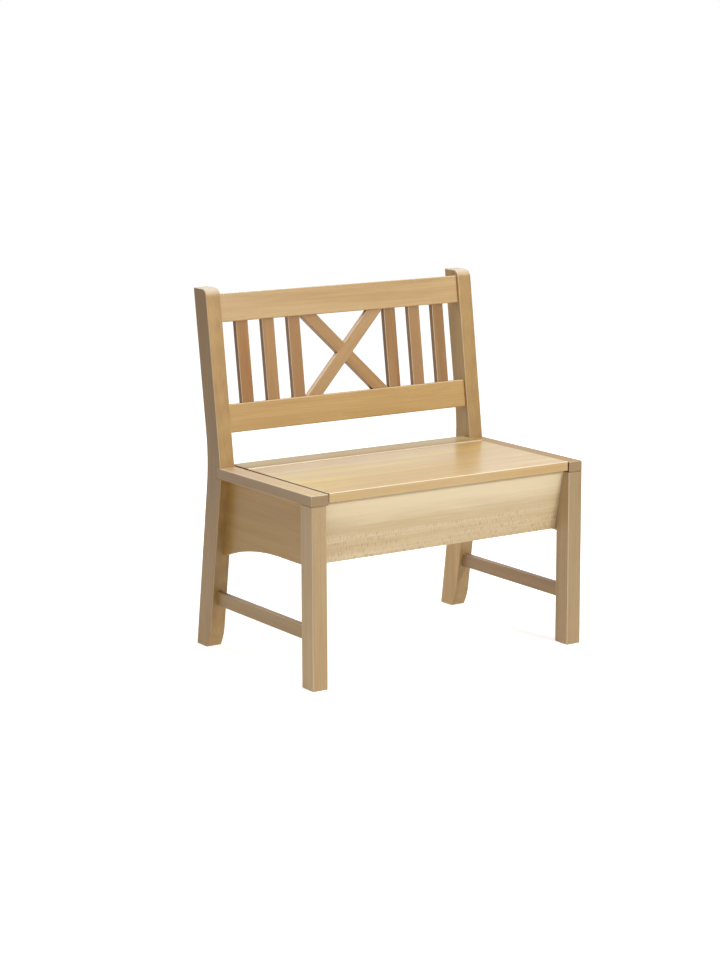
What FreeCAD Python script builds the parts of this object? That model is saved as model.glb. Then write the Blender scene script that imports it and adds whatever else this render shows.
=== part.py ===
import FreeCAD, Part
import math
import os
import re

import Sketcher

# A two-seat chest bench in beech: a seat box whose lid turns up on a long hinge, a leaning
# front panel, swept side panels, side stretchers, and a raked back with slats and a cross.
# The origin is on the floor under the middle of the bench. The front is -Y, +Z is up.
# In the formulas below y is counted from the front of the legs, and z from the floor.

SIZES = [
    ("overall_width", 800, "over the outer faces of the legs"),
    ("overall_depth", 550, "from the front legs to the back of the rear feet"),
    ("overall_height", 907, "to the top of the rear legs"),
    ("seat_height", 470, "to the top of the side rails"),
    ("leg_width", 42, "of all four legs, seen from the front"),
    ("leg_depth", 50, "of the front legs"),
    ("leg_rounding", 3, "on the long edges of the legs"),
    ("foot_bevel", 2, "on the edges round the legs' lower ends"),
    ("bend_front_inset", 133, "from the back of the rear feet to the front corner of the bend"),
    ("bend_front_drop", 17, "of that corner below the side rails' top"),
    ("bend_back_inset", 71.5, "from the back of the rear feet to the back corner of the bend"),
    ("bend_back_rise", 17, "of that corner above the side rails' top"),
    ("top_front_inset", 72, "from the back of the rear feet to the front face at the top"),
    ("top_back_inset", 13, "from the back of the rear feet to the back face at the top"),
    ("ankle_inset", 71, "from the back of the rear feet to where the foot starts to curve"),
    ("ankle_height", 52, "z of the place where the foot starts to curve"),
    ("foot_length", 50, "of a rear foot on the floor"),
    ("bend_radius", 480, "rounding of the bend at the back of the rear leg"),
    ("crown_radius", 21, "rounding of the front corner at the top of the rear leg"),
    ("rail_thickness", 27, "height of the side rails"),
    ("left_rail_width", 48, "the left rail stands in past its leg"),
    ("right_rail_width", 40, "the right rail is as wide as its leg"),
    ("rail_housing", 18, "how far a side rail runs into the notch of the rear leg"),
    ("rail_rounding", 3, "on the edges of the side rails"),
    ("board_thickness", 18, "front, side and back boards of the box"),
    ("board_rounding", 2, "on the open edges of those boards"),
    ("side_bevel", 1.5, "on the lower edges of the side panels"),
    ("box_depth", 151.5, "of the box below the side rails"),
    ("panel_top_setback", 22, "y of the front panel's face at its top"),
    ("panel_bottom_setback", 55, "y of the front panel's face at its lower edge"),
    ("side_panel_drop", 3.5, "how far the side panels reach below the front panel"),
    ("side_sweep_start", 188, "y where the side panel's lower edge starts to curve down"),
    ("side_sweep_drop", 46, "of that curve where it meets the rear leg"),
    ("stretcher_bottom", 113, "z of the lower edge of the side stretchers"),
    ("stretcher_height", 35, "of the side stretchers"),
    ("stretcher_thickness", 15, "of the side stretchers, centred on the legs"),
    ("lid_thickness", 24, "of the lid and of the fixed strip behind it"),
    ("lid_proud", 1.5, "how far the lid stands above the side rails"),
    ("lid_setback", 3, "y of the lid's front edge"),
    ("lid_gap", 3, "between the lid and each side rail"),
    ("lid_rounding", 2, "on the edges of the lid and the strip"),
    ("bumper_height", 3, "pads between the lid and the front panel"),
    ("bumper_diameter", 10, "of the pads"),
    ("bumper_inset", 30, "from the pads' middle to the legs"),
    ("strip_inset", 99, "from the back of the rear feet to the strip's and the back board's back"),
    ("bottom_thickness", 9, "of the chest's bottom"),
    ("cleat_width", 16, "of the two cleats under the bottom"),
    ("cleat_height", 12, "of those cleats"),
    ("cleat_end_gap", 4, "from a cleat to the front panel and to the back board"),
    ("back_rail_height", 70.5, "of both back rails, along the rake"),
    ("back_rail_thickness", 28, "of both back rails"),
    ("back_rail_setback", 8, "behind the front faces of the rear legs"),
    ("lower_rail_rise", 101, "from the bend to the lower back rail, along the rake"),
    ("top_rail_drop", 13.5, "from the top of the rear legs to the top back rail, along the rake"),
    ("slat_width", 35, "of the upright slats"),
    ("slat_thickness", 16, "of the slats and of the cross"),
    ("slat_rounding", 2, "on the long edges of the slats and the cross"),
    ("slat_end_gap", 44.5, "from the outer slats to the rear legs"),
    ("slat_pitch", 75.5, "from slat to slat, middle to middle"),
    ("brace_width", 34, "of the two pieces of the cross"),
    ("brace_gap", 45, "from the inner slats' middle to that of a brace's end"),
    ("tenon_shoulder", 6, "how much narrower a slat's tenon is on each edge"),
    ("slat_tenon_thickness", 8, "of the tenons of the slats and the cross"),
    ("slat_tenon_length", 12, "of those tenons"),
    ("rail_tenon_shoulder", 10, "how much narrower a back rail's tenon is on each edge"),
    ("rail_tenon_thickness", 10, "of the back rails' tenons"),
    ("rail_tenon_length", 25, "of the back rails' and the stretchers' tenons"),
    ("stretcher_tenon_shoulder", 6, "how much lower a stretcher's tenon is on each edge"),
    ("stretcher_tenon_thickness", 8, "of the stretchers' tenons"),
    ("glue_gap", 0.5, "left free at the end of each tenon and dowel"),
    ("dowel_diameter", 8, "of the dowels"),
    ("dowel_length", 30, "of the dowels, half of it in each piece"),
    ("rail_dowel_inset", 15, "from the front and the back of a front leg to its dowels' middle"),
    ("hinge_inset", 84, "from the strip's back to the hinge's axis"),
    ("hinge_rise", 0.3, "of the hinge's axis above the lid"),
    ("barrel_diameter", 3.4, "of the hinge's knuckles"),
    ("pin_diameter", 2, "of the hinge's pin"),
    ("pin_clearance", 0.05, "around the pin"),
    ("leaf_thickness", 1.2, "of the hinge's leaves"),
    ("leaf_gap", 0.2, "between the closed leaves"),
    ("leaf_height", 20, "of the leaves under the knuckles"),
    ("knuckle_count", 29, "knuckles on both leaves together"),
    ("knuckle_gap", 0.3, "between two knuckles"),
    ("barrel_end_gap", 0.5, "from the knuckles' row to each side rail"),
    ("hinge_screw_count", 7, "screws in each leaf"),
    ("screw_inset", 25, "from the ends of a leaf to its first and last screws"),
    ("screw_head_diameter", 5.6, "of the screws"),
    ("screw_head_thickness", 0.9, "of the screws, let into the leaf"),
    ("screw_shank_diameter", 2.8, "of the screws"),
    ("hinge_screw_length", 16, "of the hinge's screws"),
    ("cleat_screw_length", 28, "of the screws through the cleats"),
]

doc = FreeCAD.newDocument("chest_bench")
sizes = doc.addObject("Spreadsheet::Sheet", "sizes")
for row, (alias, value, note) in enumerate(SIZES, start=1):
    sizes.set(f"A{row}", alias)
    sizes.set(f"B{row}", str(value))
    sizes.set(f"C{row}", note)
    sizes.setAlias(f"B{row}", alias)
doc.recompute()
ALIASES = {alias for alias, value, note in SIZES}
SIDES = ("left", "right")
SLATS_PER_SIDE = 3
X_AXIS = FreeCAD.Vector(1, 0, 0)
Y_AXIS = FreeCAD.Vector(0, 1, 0)
Z_AXIS = FreeCAD.Vector(0, 0, 1)
NEAR = 0.01

# Heights and places that several pieces share
INNER = "(overall_width/2 - leg_width)"
BEND_FRONT = "(overall_depth - bend_front_inset)"
BEND_FRONT_HEIGHT = "(seat_height - bend_front_drop)"
BEND_BACK = "(overall_depth - bend_back_inset)"
BEND_BACK_HEIGHT = "(seat_height + bend_back_rise)"
TOP_FRONT = "(overall_depth - top_front_inset)"
TOP_BACK = "(overall_depth - top_back_inset)"
ANKLE = "(overall_depth - ankle_inset)"
FOOT_FRONT = "(overall_depth - foot_length)"
RAIL_BOTTOM = "(seat_height - rail_thickness)"
RAIL_END = f"({BEND_FRONT} + rail_housing)"
BOX_BOTTOM = f"({RAIL_BOTTOM} - box_depth)"
STRIP_BACK = "(overall_depth - strip_inset)"
HINGE_PLACE = f"({STRIP_BACK} - hinge_inset)"
LID_TOP = "(seat_height + lid_proud)"
LID_BOTTOM = f"({LID_TOP} - lid_thickness)"
LID_LEFT = "(-overall_width/2 + left_rail_width + lid_gap)"
LID_RIGHT = "(overall_width/2 - right_rail_width - lid_gap)"
LID_BACK = f"({HINGE_PLACE} - leaf_gap/2 - leaf_thickness)"
STRIP_FRONT = f"({HINGE_PLACE} + leaf_gap/2 + leaf_thickness)"
BACK_BOARD_FRONT = f"({STRIP_BACK} - board_thickness)"
PANEL_TOP = f"({LID_BOTTOM} - bumper_height)"
PANEL_SLOPE = f"((panel_bottom_setback - panel_top_setback)/({PANEL_TOP} - {BOX_BOTTOM}))"
PANEL_DEPTH = f"(board_thickness*sqrt(1 + {PANEL_SLOPE}^2))"
BOTTOM_UNDERSIDE = f"({BOX_BOTTOM} + cleat_height)"
SHIN_SLOPE = f"(({ANKLE} - {BEND_FRONT})/({BEND_FRONT_HEIGHT} - ankle_height))"
RAKE_SLOPE = f"(({TOP_FRONT} - {BEND_FRONT})/(overall_height - {BEND_FRONT_HEIGHT}))"
BACK_LENGTH = f"((overall_height - {BEND_FRONT_HEIGHT})*sqrt(1 + {RAKE_SLOPE}^2))"
LOWER_RAIL_TOP = "(lower_rail_rise + back_rail_height)"
TOP_RAIL_RISE = f"({BACK_LENGTH} - top_rail_drop - back_rail_height)"
BACK_OPENING = f"({TOP_RAIL_RISE} - {LOWER_RAIL_TOP})"
SLAT_OUTER = f"({INNER} - slat_end_gap - slat_width/2)"
SLAT_INNER = f"({SLAT_OUTER} - {SLATS_PER_SIDE - 1}*slat_pitch)"
BRACE_REACH = f"({SLAT_INNER} - brace_gap)"
SIDE_BOTTOM = f"({BOX_BOTTOM} - side_panel_drop)"
SWEEP_END = f"({SIDE_BOTTOM} - side_sweep_drop)"
SLAT_SETBACK = "(back_rail_setback + (back_rail_thickness - slat_thickness)/2)"
STRETCHER_INSET = "((leg_width - stretcher_thickness)/2)"
HINGE_HEIGHT = f"({LID_TOP} + hinge_rise)"
LEAF_TOP = f"({HINGE_HEIGHT} - barrel_diameter/2 - leaf_gap)"
BARREL_START = "(-overall_width/2 + left_rail_width + barrel_end_gap)"
BARREL_END = "(overall_width/2 - right_rail_width - barrel_end_gap)"


def shin(height):
    """The y of the rear leg's front face below its bend."""
    return f"({BEND_FRONT} + ({BEND_FRONT_HEIGHT} - ({height}))*{SHIN_SLOPE})"


def panel_face(height):
    """The y of the front panel's face at a height."""
    return f"(panel_bottom_setback - (({height}) - {BOX_BOTTOM})*{PANEL_SLOPE})"


def inset(side, offset, thickness):
    """Where a piece starts in x, when its outer face lies that far inside the bench's side."""
    if side == "left":
        return f"(-overall_width/2 + ({offset}))"
    return f"(overall_width/2 - ({offset}) - ({thickness}))"


# Binding to the sheet

def bound(formula):
    """The formula with each size written as a cell of the sheet."""
    def cell(match):
        word = match.group(0)
        return f"<<sizes>>.{word}" if word in ALIASES else word
    return re.sub(r"[a-z]+(?:_[a-z]+)*", cell, formula)


def number(formula):
    """What the formula comes to now."""
    value = sizes.evalExpression(formula)
    return float(getattr(value, "Value", value))


def bind(thing, path, formula):
    thing.setExpression(path, bound(formula))


def stand(thing, x="0"):
    """Places a piece upright, with its y counted from the front of the bench."""
    bind(thing, "Placement.Base.x", x)
    bind(thing, "Placement.Base.y", "-overall_depth/2")


def lean(thing, x="0"):
    """Places a piece in the back: z runs up the rake, y is square to the legs' front faces."""
    thing.Placement = FreeCAD.Placement(
        FreeCAD.Vector(), FreeCAD.Rotation(FreeCAD.Vector(-1, 0, 0), 5))
    bind(thing, "Placement.Rotation.Angle", f"atan({RAKE_SLOPE})")
    bind(thing, "Placement.Base.x", x)
    bind(thing, "Placement.Base.y", f"{BEND_FRONT} - overall_depth/2")
    bind(thing, "Placement.Base.z", BEND_FRONT_HEIGHT)


# Sketches and features

def new_sketch(body, name, plane, offset):
    """A sketch on one of the body's own planes, moved along that plane's axis."""
    sketch = body.newObject("Sketcher::SketchObject", name)
    base = [item for item in body.Origin.OriginFeatures if item.Role == plane][0]
    sketch.AttachmentSupport = [(base, "")]
    sketch.MapMode = "FlatFace"
    sign = "-" if plane == "XZ_Plane" else ""
    bind(sketch, "AttachmentOffset.Base.z", f"{sign}({offset})")
    return sketch


def arc_through(start, end, radius):
    """An arc from start to end that bulges to the right of the way, or left if negative."""
    chord = end - start
    half = chord.Length / 2
    sagitta = abs(radius) - math.sqrt(radius ** 2 - half ** 2)
    right = FreeCAD.Vector(chord.y, -chord.x, 0).normalize()
    middle = (start + end) / 2 + right * math.copysign(sagitta, radius)
    if radius > 0:
        return Part.Arc(start, middle, end)
    return Part.Arc(end, middle, start)


def draw_outline(sketch, points):
    """A closed outline. Each point is u, v and, where an arc leaves it, that arc's radius."""
    corners = [FreeCAD.Vector(number(p[0]), number(p[1]), 0) for p in points]
    ends = []
    for index, point in enumerate(points):
        start = corners[index]
        end = corners[(index + 1) % len(points)]
        if len(point) == 3:
            radius = number(point[2])
            sketch.addGeometry(arc_through(start, end, radius), False)
            ends.append((1, 2) if radius > 0 else (2, 1))
            key = sketch.addConstraint(Sketcher.Constraint("Radius", index, abs(radius)))
            sketch.renameConstraint(key, f"radius_{index}")
            bind(sketch, f"Constraints.radius_{index}", f"abs({point[2]})")
        else:
            sketch.addGeometry(Part.LineSegment(start, end), False)
            ends.append((1, 2))
    for index, (first, last) in enumerate(ends):
        following = (index + 1) % len(points)
        sketch.addConstraint(
            Sketcher.Constraint("Coincident", index, last, following, ends[following][0]))
    for index, (first, last) in enumerate(ends):
        for kind, name, place, formula in (
                ("DistanceX", "u", corners[index].x, points[index][0]),
                ("DistanceY", "v", corners[index].y, points[index][1])):
            key = sketch.addConstraint(Sketcher.Constraint(kind, -1, 1, index, first, place))
            sketch.renameConstraint(key, f"{name}_{index}")
            bind(sketch, f"Constraints.{name}_{index}", formula)


def draw_circle(sketch, u, v, diameter):
    """A circle round the place u, v."""
    centre = FreeCAD.Vector(number(u), number(v), 0)
    radius = number(diameter) / 2
    index = sketch.addGeometry(Part.Circle(centre, FreeCAD.Vector(0, 0, 1), radius), False)
    for kind, place, formula in (("DistanceX", centre.x, u), ("DistanceY", centre.y, v)):
        key = sketch.addConstraint(Sketcher.Constraint(kind, -1, 1, index, 3, place))
        sketch.renameConstraint(key, f"{kind}_{index}")
        bind(sketch, f"Constraints.{kind}_{index}", formula)
    key = sketch.addConstraint(Sketcher.Constraint("Diameter", index, 2 * radius))
    sketch.renameConstraint(key, f"diameter_{index}")
    bind(sketch, f"Constraints.diameter_{index}", diameter)


def pad(body, sketch, name, length):
    """Pads a sketch towards +X, +Y or +Z, whichever plane it lies on."""
    feature = body.newObject("PartDesign::Pad", name)
    feature.Profile = sketch
    feature.Reversed = sketch.AttachmentSupport[0][0].Role == "XZ_Plane"
    bind(feature, "Length", length)
    sketch.Visibility = False
    doc.recompute()
    return feature


def board(name, plane, points, offset, thickness):
    """A body with one outline padded to a thickness."""
    body = doc.addObject("PartDesign::Body", name)
    sketch = new_sketch(body, f"{name}_outline", plane, offset)
    draw_outline(sketch, points)
    pad(body, sketch, f"{name}_pad", thickness)
    return body


def rectangle(u_start, u_end, v_start, v_end):
    return [(u_start, v_start), (u_end, v_start), (u_end, v_end), (u_start, v_end)]


def soften(body, name, size, wanted, bevelled=False):
    """Rounds or bevels the edges of the body so far that the test picks."""
    base = body.Tip
    edges = []
    for index, edge in enumerate(base.Shape.Edges, start=1):
        if wanted(edge):
            edges.append(f"Edge{index}")
    kind, key = ("Chamfer", "Size") if bevelled else ("Fillet", "Radius")
    feature = body.newObject(f"PartDesign::{kind}", name)
    feature.Base = (base, edges)
    bind(feature, key, size)
    doc.recompute()
    return feature


def runs_along(edge, axis):
    """Whether a straight edge runs along an axis."""
    if edge.Curve.TypeId != "Part::GeomLine":
        return False
    way = edge.Vertexes[-1].Point - edge.Vertexes[0].Point
    return way.normalize().cross(axis).Length < NEAR


def rod(name, axis, x, y, z, diameter, length):
    """A round rod that starts at a place and runs along +X, +Y or +Z."""
    cylinder = doc.addObject("Part::Cylinder", name)
    turns = {"x": (Y_AXIS, 90), "y": (X_AXIS, -90), "z": (Z_AXIS, 0)}
    cylinder.Placement = FreeCAD.Placement(
        FreeCAD.Vector(), FreeCAD.Rotation(*turns[axis]))
    bind(cylinder, "Radius", f"({diameter})/2")
    bind(cylinder, "Height", length)
    bind(cylinder, "Placement.Base.x", x)
    bind(cylinder, "Placement.Base.y", f"({y}) - overall_depth/2")
    bind(cylinder, "Placement.Base.z", z)
    return cylinder


def together(kind, name, items):
    """One compound or one fusion of several objects."""
    group = doc.addObject(kind, name)
    if kind == "Part::Compound":
        group.Links = items
    else:
        group.Shapes = items
    return group


PIECES = {}


def finish(name, blank, tools=()):
    """Keeps a piece under its name, after the tools have cut it."""
    if tools:
        cut = doc.addObject("Part::Cut", f"{name}_cut")
        cut.Base = blank
        cut.Tool = together("Part::Compound", f"{name}_tools", list(tools))
        blank = cut
    blank.Label = name
    PIECES[name] = blank
    return blank


# Joints between the pieces

HOLES = {}


def holes_of(name):
    """The list of tools that cut a piece."""
    return HOLES.setdefault(name, [])


def dowel(name, axis, x, y, z, pieces):
    """A dowel whose middle is at the place, and its hole in both pieces."""
    start = dict(x=x, y=y, z=z)
    start[axis] = f"({start[axis]}) - dowel_length/2"
    pin = rod(name, axis, start["x"], start["y"], start["z"], "dowel_diameter", "dowel_length")
    start[axis] = f"({start[axis]}) - glue_gap"
    hole = rod(f"{name}_hole", axis, start["x"], start["y"], start["z"],
               "dowel_diameter", "dowel_length + 2*glue_gap")
    for piece in pieces:
        holes_of(piece).append(hole)
    return pin


def screw(name, axis, sense, x, y, z, length, pieces):
    """A flat-headed screw: its head's outer face is at the place, and it points to sense."""
    start = dict(x=x, y=y, z=z)
    if sense > 0:
        head_start = start[axis]
        shank_start = start[axis]
    else:
        head_start = f"({start[axis]}) - screw_head_thickness"
        shank_start = f"({start[axis]}) - ({length})"
    start[axis] = head_start
    head = rod(f"{name}_head", axis, start["x"], start["y"], start["z"],
               "screw_head_diameter", "screw_head_thickness")
    start[axis] = shank_start
    shank = rod(f"{name}_shank", axis, start["x"], start["y"], start["z"],
                "screw_shank_diameter", length)
    whole = together("Part::MultiFuse", name, [head, shank])
    for piece in pieces:
        holes_of(piece).append(whole)
    return whole


# The pieces

def bevel_foot(blank, name):
    """Bevels the edges where a leg stands on the floor, and gives the height of the bevel's top."""
    soften(blank, f"{name}_foot", "foot_bevel",
           lambda edge: edge.BoundBox.ZMax < NEAR, bevelled=True)
    return number("foot_bevel") + NEAR


def rear_post(side):
    """A rear leg: it splays to its foot, bends at the seat and carries the back."""
    ankle_to_foot = f"({FOOT_FRONT} - {ANKLE})"
    foot_radius = (f"(({ankle_to_foot}^2 + ankle_height^2)*sqrt(1 + {SHIN_SLOPE}^2)"
                   f"/(2*({ankle_to_foot} - {SHIN_SLOPE}*ankle_height)))")
    points = [
        (FOOT_FRONT, "0"),
        ("overall_depth", "0"),
        (BEND_BACK, BEND_BACK_HEIGHT),
        (TOP_BACK, "overall_height"),
        (TOP_FRONT, "overall_height"),
        (BEND_FRONT, BEND_FRONT_HEIGHT),
        (ANKLE, "ankle_height", foot_radius),
    ]
    name = f"rear_leg_{side}"
    blank = board(f"{name}_blank", "YZ_Plane", points, "0", "leg_width")
    bend_y, bend_z = number(BEND_BACK), number(BEND_BACK_HEIGHT)
    soften(blank, f"{name}_bend", "bend_radius", lambda edge: runs_along(edge, X_AXIS)
           and abs(edge.CenterOfMass.y - bend_y) < NEAR
           and abs(edge.CenterOfMass.z - bend_z) < NEAR)
    top_y, top_z = number(TOP_FRONT), number("overall_height")
    soften(blank, f"{name}_crown", "crown_radius", lambda edge: runs_along(edge, X_AXIS)
           and abs(edge.CenterOfMass.y - top_y) < NEAR
           and abs(edge.CenterOfMass.z - top_z) < NEAR)
    width = number("leg_width")
    floor = bevel_foot(blank, name)
    soften(blank, f"{name}_edges", "leg_rounding", lambda edge: edge.CenterOfMass.z > floor
           and abs(edge.BoundBox.XMin - edge.BoundBox.XMax) < NEAR
           and (abs(edge.BoundBox.XMin) < NEAR or abs(edge.BoundBox.XMin - width) < NEAR))
    stand(blank, inset(side, "0", "leg_width"))
    notch = board(f"{name}_notch", "YZ_Plane", rectangle(
        f"{BEND_FRONT} - leg_depth", RAIL_END, RAIL_BOTTOM, "seat_height"),
        "0", "leg_width")
    stand(notch, inset(side, "0", "leg_width"))
    return finish(name, blank, [notch] + holes_of(name))


def front_leg(side):
    """A front leg: a straight post under the end of the side rail."""
    name = f"front_leg_{side}"
    blank = board(f"{name}_blank", "XY_Plane", rectangle("0", "leg_width", "0", "leg_depth"),
                  "0", RAIL_BOTTOM)
    floor = bevel_foot(blank, name)
    soften(blank, f"{name}_edges", "leg_rounding",
           lambda edge: edge.CenterOfMass.z > floor and runs_along(edge, Z_AXIS))
    stand(blank, inset(side, "0", "leg_width"))
    return finish(name, blank, holes_of(name))


def side_rail(side):
    """A side rail: it lies on the front leg and runs into the notch of the rear leg."""
    name = f"side_rail_{side}"
    width = f"{side}_rail_width"
    blank = board(f"{name}_blank", "XY_Plane", rectangle("0", width, "0", RAIL_END),
                  RAIL_BOTTOM, "rail_thickness")
    end = number(RAIL_END)
    soften(blank, f"{name}_edges", "rail_rounding",
           lambda edge: edge.BoundBox.YMin < end - NEAR)
    stand(blank, inset(side, "0", width))
    return finish(name, blank, holes_of(name))


def rail_room(side):
    """The room of a side rail, cut from the boards that end under it."""
    width = f"{side}_rail_width"
    room = board(f"rail_room_{side}", "XY_Plane", rectangle("0", width, "0", RAIL_END),
                 RAIL_BOTTOM, "rail_thickness")
    stand(room, inset(side, "0", width))
    holes_of("front_panel").append(room)
    holes_of("back_board").append(room)


def side_panel(side):
    """A side of the box: its lower edge runs level and then sweeps down to the rear leg."""
    reach = f"({shin(SWEEP_END)} - side_sweep_start)"
    radius = f"(({reach}^2 + side_sweep_drop^2)/(2*side_sweep_drop))"
    points = [
        ("leg_depth", RAIL_BOTTOM),
        ("leg_depth", SIDE_BOTTOM),
        ("side_sweep_start", SIDE_BOTTOM, f"-{radius}"),
        (shin(SWEEP_END), SWEEP_END),
        (shin(RAIL_BOTTOM), RAIL_BOTTOM),
    ]
    name = f"side_panel_{side}"
    blank = board(f"{name}_blank", "YZ_Plane", points, "0", "board_thickness")
    level = number(SIDE_BOTTOM)
    soften(blank, f"{name}_edges", "side_bevel", lambda edge:
           not runs_along(edge, X_AXIS) and edge.CenterOfMass.z < level + NEAR, bevelled=True)
    stand(blank, inset(side, "leg_width - board_thickness", "board_thickness"))
    return finish(name, blank, holes_of(name))


def side_stretcher(side):
    """A stretcher with a tenon at each end, between the front and the rear leg."""
    name = f"side_stretcher_{side}"
    top = "(stretcher_bottom + stretcher_height)"
    points = [
        ("leg_depth", "stretcher_bottom"),
        (shin("stretcher_bottom"), "stretcher_bottom"),
        (shin(top), top),
        ("leg_depth", top),
    ]
    bar = board(f"{name}_bar", "YZ_Plane", points, "0", "stretcher_thickness")
    soften(bar, f"{name}_edges", "slat_rounding", lambda edge: runs_along(edge, Y_AXIS))
    stand(bar, inset(side, STRETCHER_INSET, "stretcher_thickness"))
    ends = {}
    for part, spare in (("tenons", "0"), ("mortises", "glue_gap")):
        core = board(f"{name}_{part}", "YZ_Plane", rectangle(
            f"leg_depth - rail_tenon_length - {spare}",
            f"{shin('stretcher_bottom + stretcher_height/2')} + rail_tenon_length + {spare}",
            "stretcher_bottom + stretcher_tenon_shoulder",
            f"{top} - stretcher_tenon_shoulder"), "0", "stretcher_tenon_thickness")
        stand(core, inset(side, "(leg_width - stretcher_tenon_thickness)/2",
                          "stretcher_tenon_thickness"))
        ends[part] = core
    holes_of(f"front_leg_{side}").append(ends["mortises"])
    holes_of(f"rear_leg_{side}").append(ends["mortises"])
    return finish(name, together("Part::MultiFuse", f"{name}_whole", [bar, ends["tenons"]]))


def front_panel():
    """The leaning front of the box, between the front legs and the side panels."""
    name = "front_panel"
    top_face = panel_face(PANEL_TOP)
    bottom_face = panel_face(BOX_BOTTOM)
    points = [
        (top_face, PANEL_TOP),
        (bottom_face, BOX_BOTTOM),
        (f"{bottom_face} + {PANEL_DEPTH}", BOX_BOTTOM),
        (f"{top_face} + {PANEL_DEPTH}", PANEL_TOP),
    ]
    blank = board(f"{name}_blank", "YZ_Plane", points, "0", f"2*{INNER}")
    soften(blank, f"{name}_edges", "board_rounding", lambda edge: runs_along(edge, X_AXIS))
    stand(blank, f"-{INNER}")
    return finish(name, blank, holes_of(name))


def back_board():
    """The upright back of the box, under the fixed strip."""
    name = "back_board"
    blank = board(f"{name}_blank", "XZ_Plane", rectangle(
        f"-{INNER}", INNER, BOX_BOTTOM, LID_BOTTOM), BACK_BOARD_FRONT, "board_thickness")
    soften(blank, f"{name}_edges", "board_rounding", lambda edge:
           runs_along(edge, X_AXIS) and abs(edge.CenterOfMass.z - number(BOX_BOTTOM)) < NEAR)
    stand(blank)
    return finish(name, blank, holes_of(name))


def chest_bottom():
    """The loose bottom of the box, which lies on the two cleats."""
    blank = board("chest_bottom_blank", "XY_Plane", rectangle(
        f"-{INNER}", INNER, f"{panel_face(BOTTOM_UNDERSIDE)} + {PANEL_DEPTH}",
        BACK_BOARD_FRONT), BOTTOM_UNDERSIDE, "bottom_thickness")
    stand(blank)
    return finish("chest_bottom", blank)


def bottom_cleat(side):
    """A cleat on the inside of a side panel, under the bottom."""
    name = f"bottom_cleat_{side}"
    start = f"-{INNER}" if side == "left" else f"{INNER} - cleat_width"
    blank = board(f"{name}_blank", "XY_Plane", rectangle(
        start, f"{start} + cleat_width",
        f"{panel_face(BOX_BOTTOM)} + {PANEL_DEPTH} + cleat_end_gap",
        f"{BACK_BOARD_FRONT} - cleat_end_gap"), BOX_BOTTOM, "cleat_height")
    stand(blank)
    return finish(name, blank, holes_of(name))


def rear_strip():
    """The fixed strip of the seat behind the lid, cut out round the ends of the side rails."""
    name = "rear_seat_strip"
    rail_clear = f"({RAIL_END} + glue_gap)"
    points = [
        (LID_LEFT, STRIP_FRONT),
        (LID_RIGHT, STRIP_FRONT),
        (LID_RIGHT, rail_clear),
        (INNER, rail_clear),
        (INNER, STRIP_BACK),
        (f"-{INNER}", STRIP_BACK),
        (f"-{INNER}", rail_clear),
        (LID_LEFT, rail_clear),
    ]
    blank = board(f"{name}_blank", "XY_Plane", points, LID_BOTTOM, "lid_thickness")
    top, front, back = number(LID_TOP), number(STRIP_FRONT), number(STRIP_BACK)
    soften(blank, f"{name}_edges", "lid_rounding", lambda edge:
           runs_along(edge, X_AXIS) and abs(edge.CenterOfMass.z - top) < NEAR
           and (abs(edge.CenterOfMass.y - front) < NEAR
                or abs(edge.CenterOfMass.y - back) < NEAR))
    stand(blank)
    return finish(name, blank, holes_of(name))


def seat_lid():
    """The lid that is the seat."""
    name = "seat_lid"
    blank = board(f"{name}_blank", "XY_Plane", rectangle(
        LID_LEFT, LID_RIGHT, "lid_setback", LID_BACK), LID_BOTTOM, "lid_thickness")
    soften(blank, f"{name}_edges", "lid_rounding", lambda edge: True)
    stand(blank)
    return finish(name, blank, holes_of(name))


def lid_bumpers():
    """Two pads on the front panel's top edge, where the lid comes to rest."""
    pads = []
    middle = f"({panel_face(PANEL_TOP)} + {PANEL_DEPTH}/2)"
    for side, sign in (("left", "-"), ("right", "")):
        pads.append(rod(f"bumper_{side}", "z", f"{sign}({INNER} - bumper_inset)", middle,
                        PANEL_TOP, "bumper_diameter", "bumper_height"))
    return finish("lid_bumpers", together("Part::Compound", "bumpers", pads))


def back_rail(name, rise):
    """A rail of the back, with a tenon at each end."""
    bar = board(f"{name}_bar", "XZ_Plane", rectangle(
        f"-{INNER}", INNER, rise, f"{rise} + back_rail_height"),
        "back_rail_setback", "back_rail_thickness")
    soften(bar, f"{name}_edges", "rail_rounding", lambda edge: runs_along(edge, X_AXIS))
    lean(bar)
    ends = {}
    for part, spare in (("tenons", "0"), ("mortises", "glue_gap")):
        reach = f"({INNER} + rail_tenon_length + {spare})"
        core = board(f"{name}_{part}", "XZ_Plane", rectangle(
            f"-{reach}", reach, f"{rise} + rail_tenon_shoulder",
            f"{rise} + back_rail_height - rail_tenon_shoulder"),
            "back_rail_setback + (back_rail_thickness - rail_tenon_thickness)/2",
            "rail_tenon_thickness")
        lean(core)
        ends[part] = core
    for side in SIDES:
        holes_of(f"rear_leg_{side}").append(ends["mortises"])
    whole = together("Part::MultiFuse", f"{name}_whole", [bar, ends["tenons"]])
    return finish(name, whole, holes_of(name))


TENON_OFFSET = f"({SLAT_SETBACK} + (slat_thickness - slat_tenon_thickness)/2)"


def tenoned(name, bar, outline_of):
    """Adds the tenons of a slat or brace to its bar, and their mortises to both back rails."""
    cores = {}
    for part, spare in (("tenons", "0"), ("mortises", "glue_gap")):
        core = board(f"{name}_{part}", "XZ_Plane", outline_of(f"(slat_tenon_length + {spare})"),
                     TENON_OFFSET, "slat_tenon_thickness")
        lean(core)
        cores[part] = core
    for rail in ("top_back_rail", "lower_back_rail"):
        holes_of(rail).append(cores["mortises"])
    return together("Part::MultiFuse", f"{name}_whole", [bar, cores["tenons"]])


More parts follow.
